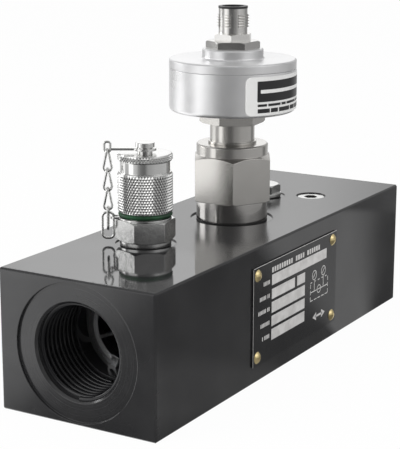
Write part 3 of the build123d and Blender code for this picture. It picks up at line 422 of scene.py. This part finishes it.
def made_piece(name, verts, faces, material):
    """A piece from its corners and faces, in one material."""
    mesh = bpy.data.meshes.new(name)
    mesh.from_pydata(verts, [], faces)
    mesh.materials.append(material)
    piece = bpy.data.objects.new(name, mesh)
    bpy.context.scene.collection.objects.link(piece)
    return piece


def smooth_to(mesh, degrees):
    """Shade smooth, but for edges sharper than an angle."""
    mesh.shade_smooth()
    mesh.set_sharp_from_angle(angle=math.radians(degrees))


def wrapped_sheet(name, material, radius, thickness, corner, start, sweep, low, high):
    """A strip bent round the head from an angle on, between two heights, with round corners."""
    corner_cuts = 6
    middle_cuts = 40
    length = math.radians(sweep) * radius
    straight = length - 2 * corner
    corner_steps = [corner * (1 - math.cos(math.pi / 2 * k / corner_cuts))
                    for k in range(corner_cuts)]
    middle_steps = [corner + straight * k / middle_cuts for k in range(middle_cuts + 1)]
    steps = corner_steps + middle_steps + [length - step for step in reversed(corner_steps)]
    verts, faces = [], []
    for step in steps:
        inset = min(step, length - step, corner)
        lift = corner - math.sqrt(max(corner**2 - (corner - inset) ** 2, 0))
        angle = math.radians(start) + step / radius
        outward = Vector((math.cos(angle), math.sin(angle), 0))
        for reach in (radius, radius - thickness):
            for height in (low + lift, high - lift):
                verts.append(Vector(sensor_centre) + outward * reach + Vector((0, 0, height)))
    for k in range(len(steps) - 1):
        a, b = 4 * k, 4 * k + 4
        faces += [
            (a, b, b + 1, a + 1),
            (a + 2, a + 3, b + 3, b + 2),
            (a + 1, b + 1, b + 3, a + 3),
            (a, a + 2, b + 2, b),
        ]
    last = 4 * (len(steps) - 1)
    faces += [(0, 1, 3, 2), (last, last + 2, last + 3, last + 1)]
    piece = made_piece(name, verts, faces, material)
    smooth_to(piece.data, 40)
    return piece


satin_white = new_finish("satin_foil", (0.78, 0.78, 0.77), 0, 0.32)
add_grain(satin_white, 900, 2, 0.000004, 0.4)
mottle(satin_white, 60, 3, (0.72, 0.72, 0.71), (0.8, 0.8, 0.79))
label_ink = new_finish("label_ink", (0.012, 0.012, 0.013), 0, 0.3)
add_grain(label_ink, 2000, 2, 0.000004, 0.3)
foil_radius = 0.0239
foil_thickness = 0.00015
ink_lift = 0.00004
ink_thickness = 0.00006
band_radius = foil_radius + ink_lift
stripe_radius = band_radius + ink_lift
bar_corner = 0.0001
label = wrapped_sheet("wrap_label", satin_white, foil_radius, foil_thickness, corner=0.0022,
                      start=220.7, sweep=120.0, low=0.0925, high=0.1065)
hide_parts("head_label")
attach(label, "meter")
prints = [wrapped_sheet("label_band", label_ink, band_radius, ink_thickness, corner=0.0003,
                        start=231.4, sweep=98, low=0.0975, high=0.105)]
upper_bars = ((231.8, 9), (242.2, 14), (257.6, 6), (265, 18), (285, 12), (299, 14))
lower_bars = ((231.8, 12), (245, 8), (254.5, 15), (271, 9), (281.5, 18), (301, 11))
for bars, low, high in ((upper_bars, 0.0958, 0.0967), (lower_bars, 0.0935, 0.095)):
    for start, sweep in bars:
        prints.append(wrapped_sheet(f"label_bar_{len(prints)}", label_ink, band_radius,
                                    ink_thickness, bar_corner, start, sweep, low, high))
prints.append(wrapped_sheet("label_stripe", satin_white, stripe_radius, ink_thickness,
                            corner=0.0003, start=234.5, sweep=91.8, low=0.1006, high=0.1019))
for piece in prints:
    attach(piece, "meter")

# The cable connector: nickel plated brass with a machined thread on its shell, a lock nut, a black
# insert and gold plated pins. The thread is cut in a copy of the shell at a pitch of 1 mm.


def thread_cut(name, node, finish, values):
    """A copy of a node with a wound thread cut in it, which takes the node's place."""
    cutter = grown(f"{name}_cutter", thread_tree, {**values, "Material": finish})
    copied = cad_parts[node].data.copy()
    if "custom_normal" in copied.attributes:
        copied.attributes.remove(copied.attributes["custom_normal"])
    piece = bpy.data.objects.new(name, copied)
    bpy.context.scene.collection.objects.link(piece)
    joined = piece.modifiers.new("joined", "WELD")
    joined.merge_threshold = 0.000001
    threaded = piece.modifiers.new("threaded", "BOOLEAN")
    threaded.operation = "DIFFERENCE"
    threaded.solver = "EXACT"
    threaded.object = cutter
    seen = piece.evaluated_get(bpy.context.evaluated_depsgraph_get())
    mesh = bpy.data.meshes.new_from_object(seen)
    piece.modifiers.clear()
    piece.data = mesh
    bpy.data.objects.remove(cutter)
    mesh.materials.clear()
    mesh.materials.append(finish)
    mesh.polygons.foreach_set("material_index", [0] * len(mesh.polygons))
    smooth_to(mesh, 20)
    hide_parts(node)
    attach(piece, "meter")
    return piece


nickel = turned_metal("nickel_plate", (0.74, 0.73, 0.71), 0.16, sensor_centre)
shell_nickel = turned_metal("threaded_nickel", (0.8, 0.79, 0.77), 0.2, sensor_centre,
                            broken_edge=0.00003)
shell_thread_foot = 0.1219
connector_shell = thread_cut(
    "connector_shell",
    "connector_body",
    shell_nickel,
    {
        "Radius": 0.00605,
        "Ridge": (0.0006, 0.00044, 1.0),
        "Turns": 5.5,
        "Length": 0.0055,
        "Turned": (0, 0, 0),
        "Place": (sensor_centre[0], 0, shell_thread_foot),
    },
)
insert_black = new_finish("insert_black", (0.015, 0.015, 0.016), 0, 0.4)
add_grain(insert_black, 1500, 2, 0.00001, 0.4)
gold = turned_metal("gold_plate", (0.85, 0.62, 0.28), 0.2, sensor_centre)
finish_nodes(nickel, "connector_lock_nut")
finish_nodes(insert_black, "connector_insert")
finish_nodes(gold, "connector_pins")

# The pressure test point: a forged and turned steel body, bright plated, with small pits left by
# the forging on its hexagon and a thread under the cap. Inside are the plastic seat, the steel
# poppet and its spring.

test_centre = (-0.0424, 0.0065, 0)
bright_plate = turned_metal("bright_plate", (0.78, 0.78, 0.77), 0.15, test_centre)
forged_plate = turned_metal("forged_plate", (0.8, 0.8, 0.79), 0.2, test_centre)
add_grain(forged_plate, 400, 4, 0.00008, 0.6)
seat_white = new_finish("seat_white", (0.8, 0.8, 0.77), 0, 0.4)
add_grain(seat_white, 1500, 2, 0.00001, 0.4)
cap_thread_foot = 0.063
test_point_shell = thread_cut(
    "test_point_shell",
    "test_point_body",
    forged_plate,
    {
        "Radius": 0.0081,
        "Ridge": (0.0011, 0.0008, 1.0),
        "Turns": 5.0,
        "Length": 0.01,
        "Turned": (0, 0, 0),
        "Place": (test_centre[0], test_centre[1], cap_thread_foot),
    },
)
finish_nodes(seat_white, "valve_seat")
finish_nodes(bright_plate, "valve_poppet", "valve_spring", "cap_stud", "chain_strap")

# The dust cap: turned from bar, with a diamond knurl rolled into its sleeve and flange, and bright
# plated. A green ring seals under it.


def turned_piece(name, profile, centre, cuts, material):
    """A closed profile of radii and heights, spun about an upright axis."""
    verts, faces = [], []
    count = len(profile)
    for cut in range(cuts):
        angle = 2 * math.pi * cut / cuts
        for radius, height in profile:
            x = centre[0] + radius * math.cos(angle)
            y = centre[1] + radius * math.sin(angle)
            verts.append((x, y, height))
    for cut in range(cuts):
        here, there = cut * count, (cut + 1) % cuts * count
        for k in range(count):
            after = (k + 1) % count
            faces.append((here + k, there + k, there + after, here + after))
    piece = made_piece(name, verts, faces, material)
    smooth_to(piece.data, 30)
    return piece


cap_skin = 0.0098
knurl_depth = 0.00036
knurl_foot = cap_skin - knurl_depth
cap_shoulder = 0.00925
cap_neck = 0.0088
cap_bore = 0.0081
cap_foot = 0.0617
sleeve_top = 0.0761
flange_foot = 0.08
cap_top = 0.0826
edge_break = 0.00025
top_break = 0.00045
bore_roof = 0.0756
stud_hole = 0.0026
stud_hole_floor = 0.0776
near_axis = 0.0001
cap_cuts = 112
cap_shell = turned_piece(
    "cap_shell",
    [
        (cap_bore, cap_foot),
        (cap_shoulder, cap_foot),
        (knurl_foot, cap_foot + edge_break),
        (knurl_foot, sleeve_top - edge_break),
        (cap_shoulder, sleeve_top),
        (cap_neck, sleeve_top),
        (cap_neck, flange_foot),
        (cap_shoulder, flange_foot),
        (knurl_foot, flange_foot + edge_break),
        (knurl_foot, cap_top - top_break),
        (cap_shoulder, cap_top),
        (stud_hole, cap_top),
        (stud_hole, stud_hole_floor),
        (near_axis, stud_hole_floor),
        (near_axis, bore_roof),
        (cap_bore, bore_roof),
    ],
    test_centre,
    cap_cuts,
    bright_plate,
)
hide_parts("dust_cap")
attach(cap_shell, "cap")

knurl_tree, knurl_in, knurl_out = new_tree(
    "diamond_knurl",
    {
        "Teeth": "NodeSocketInt",
        "Rows": "NodeSocketInt",
        "Foot Radius": "NodeSocketFloat",
        "First Row": "NodeSocketFloat",
        "Row Rise": "NodeSocketFloat",
        "Tooth": "NodeSocketVector",
        "Place": "NodeSocketVector",
    },
)


def knurl_sum(operation, first, second=0.0):
    """One sum in the knurl's tree."""
    return worked_out(knurl_tree, operation, first, second)


teeth, rows = knurl_in.outputs["Teeth"], knurl_in.outputs["Rows"]
index = knurl_tree.nodes.new("GeometryNodeInputIndex").outputs["Index"]
row = knurl_sum("FLOOR", knurl_sum("DIVIDE", index, teeth))
half_step = knurl_sum("MULTIPLY", knurl_sum("MODULO", row, 2.0), 0.5)
steps_round = knurl_sum("ADD", knurl_sum("MODULO", index, teeth), half_step)
turn = knurl_sum("MULTIPLY", knurl_sum("DIVIDE", steps_round, teeth), 2 * math.pi)
spot = knurl_tree.nodes.new("ShaderNodeCombineXYZ")
for label, wave in (("X", "COSINE"), ("Y", "SINE")):
    sideways = knurl_sum("MULTIPLY", knurl_in.outputs["Foot Radius"], knurl_sum(wave, turn))
    knurl_tree.links.new(sideways, spot.inputs[label])
rise = knurl_sum("MULTIPLY", row, knurl_in.outputs["Row Rise"])
row_height = knurl_sum("ADD", knurl_in.outputs["First Row"], rise)
knurl_tree.links.new(row_height, spot.inputs["Z"])
lean = knurl_tree.nodes.new("ShaderNodeCombineXYZ")
lean.inputs["X"].default_value = math.pi / 2
knurl_tree.links.new(knurl_sum("ADD", turn, math.pi / 2), lean.inputs["Z"])
spots = knurl_tree.nodes.new("GeometryNodePoints")
knurl_tree.links.new(knurl_sum("MULTIPLY", teeth, rows), spots.inputs["Count"])
knurl_tree.links.new(spot.outputs["Vector"], spots.inputs["Position"])
tooth = knurl_tree.nodes.new("GeometryNodeMeshCone")
tooth.inputs["Vertices"].default_value = 4
tooth.inputs["Radius Top"].default_value = 0.12
tooth.inputs["Radius Bottom"].default_value = 1.0
tooth.inputs["Depth"].default_value = 1.0
teeth_set = knurl_tree.nodes.new("GeometryNodeInstanceOnPoints")
knurl_tree.links.new(spots.outputs["Points"], teeth_set.inputs["Points"])
knurl_tree.links.new(tooth.outputs["Mesh"], teeth_set.inputs["Instance"])
knurl_tree.links.new(lean.outputs["Vector"], teeth_set.inputs["Rotation"])
knurl_tree.links.new(knurl_in.outputs["Tooth"], teeth_set.inputs["Scale"])
on_cap = knurl_tree.nodes.new("GeometryNodeTransform")
knurl_tree.links.new(teeth_set.outputs["Instances"], on_cap.inputs["Geometry"])
knurl_tree.links.new(knurl_in.outputs["Place"], on_cap.inputs["Translation"])
end_tree(knurl_tree, knurl_in, knurl_out, on_cap.outputs["Geometry"])

knurl_plate = new_finish("knurled_plate", (0.85, 0.85, 0.84), 1, 0.18)
add_grain(knurl_plate, 2500, 2, 0.00001, 0.4)
tooth_reach = 0.00055
tooth_sink = 0.00003
for name, first_row, rows_up, row_rise in (
    ("sleeve_knurl", 0.0627, 14, 0.00094), ("flange_knurl", 0.08075, 3, 0.00058)
):
    knurl = grown(
        name,
        knurl_tree,
        {
            "Teeth": 56,
            "Rows": rows_up,
            "Foot Radius": knurl_foot - tooth_sink,
            "First Row": first_row,
            "Row Rise": row_rise,
            "Tooth": (tooth_reach, row_rise, knurl_depth),
            "Place": test_centre,
            "Material": knurl_plate,
        },
    )
    for face in knurl.data.polygons:
        face.use_smooth = False
    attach(knurl, "cap")

green_rubber = new_finish("green_rubber", (0.003, 0.045, 0.013), 0, 0.5)
add_grain(green_rubber, 1500, 2, 0.00001, 0.4)
mottle(green_rubber, 300, 2, (0.002, 0.03, 0.009), (0.004, 0.06, 0.017))
finish_nodes(green_rubber, "dust_ring")

# The chain and the tab it hangs from: bent and stamped steel, bright plated, a little dull from
# handling.

chain_plate = turned_metal("chain_plate", (0.82, 0.82, 0.81), 0.2, test_centre)
finish_nodes(chain_plate, "cap_tab", "chain_link_1", "chain_link_2", "chain_link_3")
finish_nodes(chain_plate, "chain_link_4", "chain_end_link")

# The two plugs beyond the pickup: one with a hexagon for a temperature probe, and one sunk in the
# block's top. Both are bright plated steel.

plug_centre = (0.0475, 0.008, 0)
plug_plate = turned_metal("plug_plate", (0.70, 0.70, 0.69), 0.16, plug_centre)
finish_nodes(plug_plate, "temperature_plug", "sunk_plug")

# The nameplate: thin anodised sheet, black with pale printed fields, rows of plain bars, and a line
# sign for a meter with its flow arrow. Four brass dome rivets hold it.

plate_black = new_finish("nameplate_black", (0.014, 0.014, 0.015), 0, 0.24)
add_grain(plate_black, 1500, 2, 0.000004, 0.35)
mottle(plate_black, 70, 3, (0.011, 0.011, 0.012), (0.018, 0.018, 0.019))
finish_nodes(plate_black, "nameplate")
plate_print = new_finish("pale_print", (0.62, 0.61, 0.60), 0, 0.4)
mottle(plate_print, 300, 4, (0.54, 0.53, 0.52), (0.68, 0.67, 0.66))
plate_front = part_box("nameplate")[0].y
ink_front = plate_front - 0.00004
ink_back = plate_front + 0.00002
print_verts, print_faces = [], []


def printed_shape(corners):
    """Add one flat printed shape with its thickness of ink, given in millimetres."""
    first, count = len(print_verts), len(corners)
    for y in (ink_front, ink_back):
        print_verts.extend((x / 1000, y, z / 1000) for x, z in corners)
    front = list(range(first, first + count))
    print_faces.append(front)
    print_faces.append([v + count for v in reversed(front)])
    for k in range(count):
        after = (k + 1) % count
        print_faces.append((front[k] + count, front[after] + count, front[after], front[k]))


def printed_box(x0, x1, z0, z1):
    """Add a printed rectangle."""
    printed_shape([(x0, z0), (x1, z0), (x1, z1), (x0, z1)])


def printed_line(x0, z0, x1, z1, width=0.36):
    """Add a printed line between two points."""
    run = math.hypot(x1 - x0, z1 - z0)
    side_x, side_z = -(z1 - z0) / run * width / 2, (x1 - x0) / run * width / 2
    printed_shape([(x0 - side_x, z0 - side_z), (x1 - side_x, z1 - side_z),
                   (x1 + side_x, z1 + side_z), (x0 + side_x, z0 + side_z)])


def printed_ring(x, z, radius, lines=20):
    """Add a printed circle as short lines."""
    for k in range(lines):
        a, b = 2 * math.pi * k / lines, 2 * math.pi * (k + 1) / lines
        printed_line(x + radius * math.cos(a), z + radius * math.sin(a),
                     x + radius * math.cos(b), z + radius * math.sin(b))


fields_left = -18.3
fields_right = 8.1
for x0, x1, z0, z1 in (
    (fields_left, 26.2, 34.0, 37.9),
    (fields_left, -0.2, 28.8, 32.6),
    (1.7, fields_right, 28.8, 32.6),
    (fields_left, fields_right, 23.6, 27.7),
    (fields_left, fields_right, 18.6, 22.5),
    (fields_left, fields_right, 13.4, 17.5),
):
    printed_box(x0, x1, z0, z1)

top_bar_pitch = 1.85
top_bar_width = 1.25
for first_bar, bars in ((fields_left, 9), (0.3, 4), (9.7, 6)):
    for k in range(bars):
        x = first_bar + top_bar_pitch * k
        printed_box(x, x + top_bar_width, 38.7, 40.6)

side_bar_pitch = 1.0
side_bar_width = 0.62
side_bar_height = 1.5
side_group_gap = 0.7
side_bars_right = -19.6
for z, groups in ((29.9, (5, 2)), (24.9, (6, 2)), (19.8, (7,)), (14.8, (1, 4)), (35.0, (5,))):
    x = side_bars_right - side_bar_pitch * sum(groups) - side_group_gap * (len(groups) - 1)
    for bars in groups:
        for k in range(bars):
            printed_box(x, x + side_bar_width, z, z + side_bar_height)
            x += side_bar_pitch
        x += side_group_gap

sign_left, sign_right = 12.9, 27.7
sign_foot, sign_head = 19.8, 27.0
pipe_height = 23.2
dial_radius = 1.75
rotor_radius = 1.5
for dial_x, dial_z in ((16.1, 29.5), (23.8, 29.6)):
    printed_ring(dial_x, dial_z, dial_radius)
    printed_line(dial_x - 0.9, dial_z - 0.8, dial_x + 0.9, dial_z + 0.9)
    printed_line(dial_x, dial_z - 1.8, dial_x, pipe_height)
printed_ring(20.1, pipe_height, rotor_radius)
for x0, x1 in ((18.9, 21.3), (sign_left, 18.6), (21.6, sign_right)):
    printed_line(x0, pipe_height, x1, pipe_height)
level_pitch, foot_dash, head_dash = 3.1, 2.2, 1.4
for k in range(5):
    x = sign_left + level_pitch * k
    printed_line(x, sign_foot, x + foot_dash, sign_foot)
    printed_line(x, sign_head, x + head_dash, sign_head)
upright_pitch, upright_dash = 2.5, 1.7
for k in range(3):
    z = sign_foot + upright_pitch * k
    for x in (sign_left, sign_right):
        printed_line(x, z, x, z + upright_dash)

arrow_height = 12.7
arrow_spread = 1.6
printed_line(17.4, arrow_height, 23.4, arrow_height, width=0.8)
for tip, back, spread in ((15.2, 18.2, arrow_spread), (25.6, 22.6, -arrow_spread)):
    printed_shape([(tip, arrow_height), (back, arrow_height - spread),
                   (back, arrow_height + spread)])
edge_width = 0.18
for edge in ((-31.9, 43.0, 34.7, 43.0), (-32.0, 6.8, -32.0, 42.8)):
    printed_line(*edge, edge_width)
nameplate_print = made_piece("nameplate_print", print_verts, print_faces, plate_print)
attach(nameplate_print, "meter")
rivet_brass = new_finish("rivet_brass", (0.93, 0.76, 0.4), 1, 0.22)
add_grain(rivet_brass, 900, 3, 0.00002, 0.4)
finish_nodes(rivet_brass, "nameplate_rivets")

# The studio: a plain white table and background, and soft lamps at the left and at the front. Grey
# cards round the meter, on the floor and overhead show only in its reflections. The left lamp
# doesn't show in them.


def bare_material(name):
    """A material with only its output, and its tree."""
    material = bpy.data.materials.new(name)
    material.use_nodes = True
    tree = material.node_tree
    tree.nodes.clear()
    return material, tree, tree.nodes.new("ShaderNodeOutputMaterial")


def glowing(name, strength):
    """A white glow of one strength."""
    material, tree, end = bare_material(name)
    glow = tree.nodes.new("ShaderNodeEmission")
    glow.inputs["Strength"].default_value = strength
    tree.links.new(glow.outputs["Emission"], end.inputs["Surface"])
    return material


def seen_directly(tree):
    """A value of 1 for rays from the camera, a gloss or a glass."""
    path = tree.nodes.new("ShaderNodeLightPath").outputs
    camera_or_gloss = worked_out(tree, "MAXIMUM", path["Is Camera Ray"], path["Is Glossy Ray"])
    return worked_out(tree, "MAXIMUM", camera_or_gloss, path["Is Transmission Ray"])


def level_ring(radius, height, count=96):
    """Points round a level circle."""
    turns = [2 * math.pi * k / count for k in range(count)]
    return [(radius * math.cos(turn), radius * math.sin(turn), height) for turn in turns]


def staged(name, verts, faces, material):
    """A piece of the studio, which isn't part of the meter."""
    piece = made_piece(name, verts, faces, material)
    return piece


def level_disc(name, radius, height, material):
    """A level disc of the studio."""
    ring = level_ring(radius, height)
    return staged(name, ring, [list(range(len(ring)))], material)


def grey_round(tree, turned, shades):
    """Grey by direction, from pairs of an angle and a shade. The angles run from 180 degrees at
    the -X side, over 270 at the -Y side, to 540."""
    ramp = tree.nodes.new("ShaderNodeValToRGB")
    stops = ramp.color_ramp.elements
    for number, (angle, shade) in enumerate(shades):
        place = (angle - 180) / 360
        stop = stops[number] if number < 2 else stops.new(place)
        stop.position = place
        stop.color = (shade, shade, shade, 1)
    tree.links.new(turned, ramp.inputs["Fac"])
    return ramp.outputs["Color"]


table_white, table_tree, table_end = bare_material("table_white")
table_matt = table_tree.nodes.new("ShaderNodeBsdfDiffuse")
table_matt.inputs["Color"].default_value = (0.85, 0.85, 0.85, 1)
table_glow = table_tree.nodes.new("ShaderNodeEmission")
table_mix = table_tree.nodes.new("ShaderNodeMixShader")
table_share = worked_out(table_tree, "MULTIPLY", seen_directly(table_tree), 0.97)
table_tree.links.new(table_share, table_mix.inputs["Fac"])
table_tree.links.new(table_matt.outputs["BSDF"], table_mix.inputs[1])
table_tree.links.new(table_glow.outputs["Emission"], table_mix.inputs[2])
table_tree.links.new(table_mix.outputs["Shader"], table_end.inputs["Surface"])
level_disc("table", 4.0, 0.0, table_white)

cards, card_tree, card_end = bare_material("grey_cards")
card_point = card_tree.nodes.new("ShaderNodeTexCoord").outputs["Object"]
card_turn = card_tree.nodes.new("ShaderNodeTexGradient")
card_turn.gradient_type = "RADIAL"
card_tree.links.new(card_point, card_turn.inputs["Vector"])
turned = card_turn.outputs["Fac"]
near_shade = grey_round(card_tree, turned, (
    (180, 0.18), (195, 0.16), (210, 0.38), (240, 0.38), (262, 0.24), (300, 0.2), (318, 0.2),
    (322, 0.82), (334, 0.82), (338, 0.18), (360, 0.25), (420, 0.5), (440, 1.8), (474, 1.8),
    (480, 1.2), (504, 2.0), (512, 1.9), (521, 1.3), (527, 0.5), (533, 0.28), (539.9, 0.18),
))
far_shade = grey_round(card_tree, turned, (
    (180, 0.5), (190, 0.3), (200, 0.23), (208, 0.22), (222, 0.52), (250, 0.62), (285, 0.7),
    (305, 0.75), (319, 0.75), (330, 0.3), (338, 0.3), (345, 0.7), (356, 0.7), (366, 0.8),
    (378, 1.22), (402, 1.22), (420, 0.8), (440, 1.0), (450, 1.6), (468, 1.8), (477, 0.75),
    (493, 0.7), (502, 2.2), (515, 2.05), (521, 0.9), (528, 0.85), (536, 0.7), (539.9, 0.5),
))
wall_shade = grey_round(card_tree, turned, (
    (180, 0.12), (213, 0.12), (235, 0.25), (258, 0.75), (295, 0.6), (320, 0.4), (340, 0.3),
    (360, 0.5), (377, 0.66), (380, 0.95), (384, 1.25), (402, 1.22), (420, 0.6), (440, 0.4),
    (485, 0.4), (500, 1.35), (530, 1.35), (536, 0.4), (539.9, 0.12),
))
near_reach, far_reach = 0.255, 0.27
dim_height, bright_height = 0.2, 0.36
wall_start = 0.002
card_height = parts_of(card_tree, card_point)[2]
far_share = between(card_tree, length_of(card_tree, card_point), 0, 1, near_reach, far_reach)
floor_shade = blended(card_tree, far_share, near_shade, far_shade)
on_wall = worked_out(card_tree, "GREATER_THAN", card_height, wall_start)
card_shade = blended(card_tree, on_wall, floor_shade, wall_shade)
brighter_up = between(card_tree, card_height, 0.75, 1.3, dim_height, bright_height)
card_glow = card_tree.nodes.new("ShaderNodeEmission")
card_tree.links.new(card_shade, card_glow.inputs["Color"])
card_tree.links.new(brighter_up, card_glow.inputs["Strength"])
card_tree.links.new(card_glow.outputs["Emission"], card_end.inputs["Surface"])

card_radius = 0.9
card_foot = 0.0004
wall_height = 0.75
card_floor = level_disc("card_floor", card_radius, card_foot, cards)
card_ceiling = level_disc("card_ceiling", card_radius, wall_height, glowing("top_card", 0.45))
foot_ring = level_ring(card_radius, card_foot)
top_ring = level_ring(card_radius, wall_height)
count = len(foot_ring)
wall_faces = [(k, (k + 1) % count, (k + 1) % count + count, k + count) for k in range(count)]
card_wall = staged("card_wall", foot_ring + top_ring, wall_faces, cards)

panel_radius = 0.8
panel_foot, panel_top = 0.1, 0.42
panel_edges = [(panel_radius * math.cos(turn), panel_radius * math.sin(turn))
               for turn in (math.radians(84), math.radians(112))]
panel_corners = [(x, y, z) for z in (panel_foot, panel_top) for x, y in panel_edges]
left_panel = staged("left_panel", panel_corners, [(0, 1, 3, 2)], glowing("left_card", 3.8))
for card in (card_floor, card_wall, card_ceiling, left_panel):
    card.visible_camera = False
    card.visible_diffuse = False
    card.visible_transmission = False
    card.visible_shadow = False
    card.visible_volume_scatter = False

world = bpy.data.worlds.new("white_studio")
bpy.context.scene.world = world
world.use_nodes = True
world_tree = world.node_tree
world_tree.nodes.clear()
world_end = world_tree.nodes.new("ShaderNodeOutputWorld")
world_mix = world_tree.nodes.new("ShaderNodeMixShader")
world_tree.links.new(seen_directly(world_tree), world_mix.inputs["Fac"])
for number, strength in ((1, 0.6), (2, 1.0)):
    world_light = world_tree.nodes.new("ShaderNodeBackground")
    world_light.inputs["Color"].default_value = (1, 1, 1, 1)
    world_light.inputs["Strength"].default_value = strength
    world_tree.links.new(world_light.outputs["Background"], world_mix.inputs[number])
world_tree.links.new(world_mix.outputs["Shader"], world_end.inputs["Surface"])


def soft_lamp(name, place, aim, size, power):
    """A square soft lamp that faces a point."""
    lamp = bpy.data.lights.new(name, "AREA")
    lamp.size = size
    lamp.energy = power
    holder = bpy.data.objects.new(name, lamp)
    bpy.context.scene.collection.objects.link(holder)
    holder.location = place
    holder.rotation_euler = (Vector(aim) - Vector(place)).to_track_quat("-Z", "Y").to_euler()
    return holder


left_lamp = soft_lamp("left_lamp", (-0.75, 0.35, 0.55), (-0.02, 0, 0.05), size=0.6, power=6.0)
left_lamp.visible_glossy = False
soft_lamp("front_lamp", (0.1, -0.9, 0.7), (0, 0, 0.05), size=0.7, power=3.0)

# The camera stands where the photographer's did, off the inlet end and a little above the meter,
# and was solved from the block's edges.

camera = bpy.data.cameras.new("camera")
camera.sensor_width = 36.0
camera.lens = 115.84
camera.clip_start = 0.01
eye = bpy.data.objects.new("camera", camera)
bpy.context.scene.collection.objects.link(eye)
eye_place = Vector((-0.4594, -0.2638, 0.1781))
level_right = Vector((0.5110, -0.8596, 0.0016)).normalized()
backward = Vector((-0.8350, -0.4964, 0.2375)).normalized()
upward = backward.cross(level_right).normalized()
rightward = upward.cross(backward)
eye.matrix_world = Matrix((
    (rightward.x, upward.x, backward.x, eye_place.x),
    (rightward.y, upward.y, backward.y, eye_place.y),
    (rightward.z, upward.z, backward.z, eye_place.z),
    (0, 0, 0, 1),
))
bpy.context.scene.camera = eye
bpy.context.scene.view_settings.view_transform = "Standard"
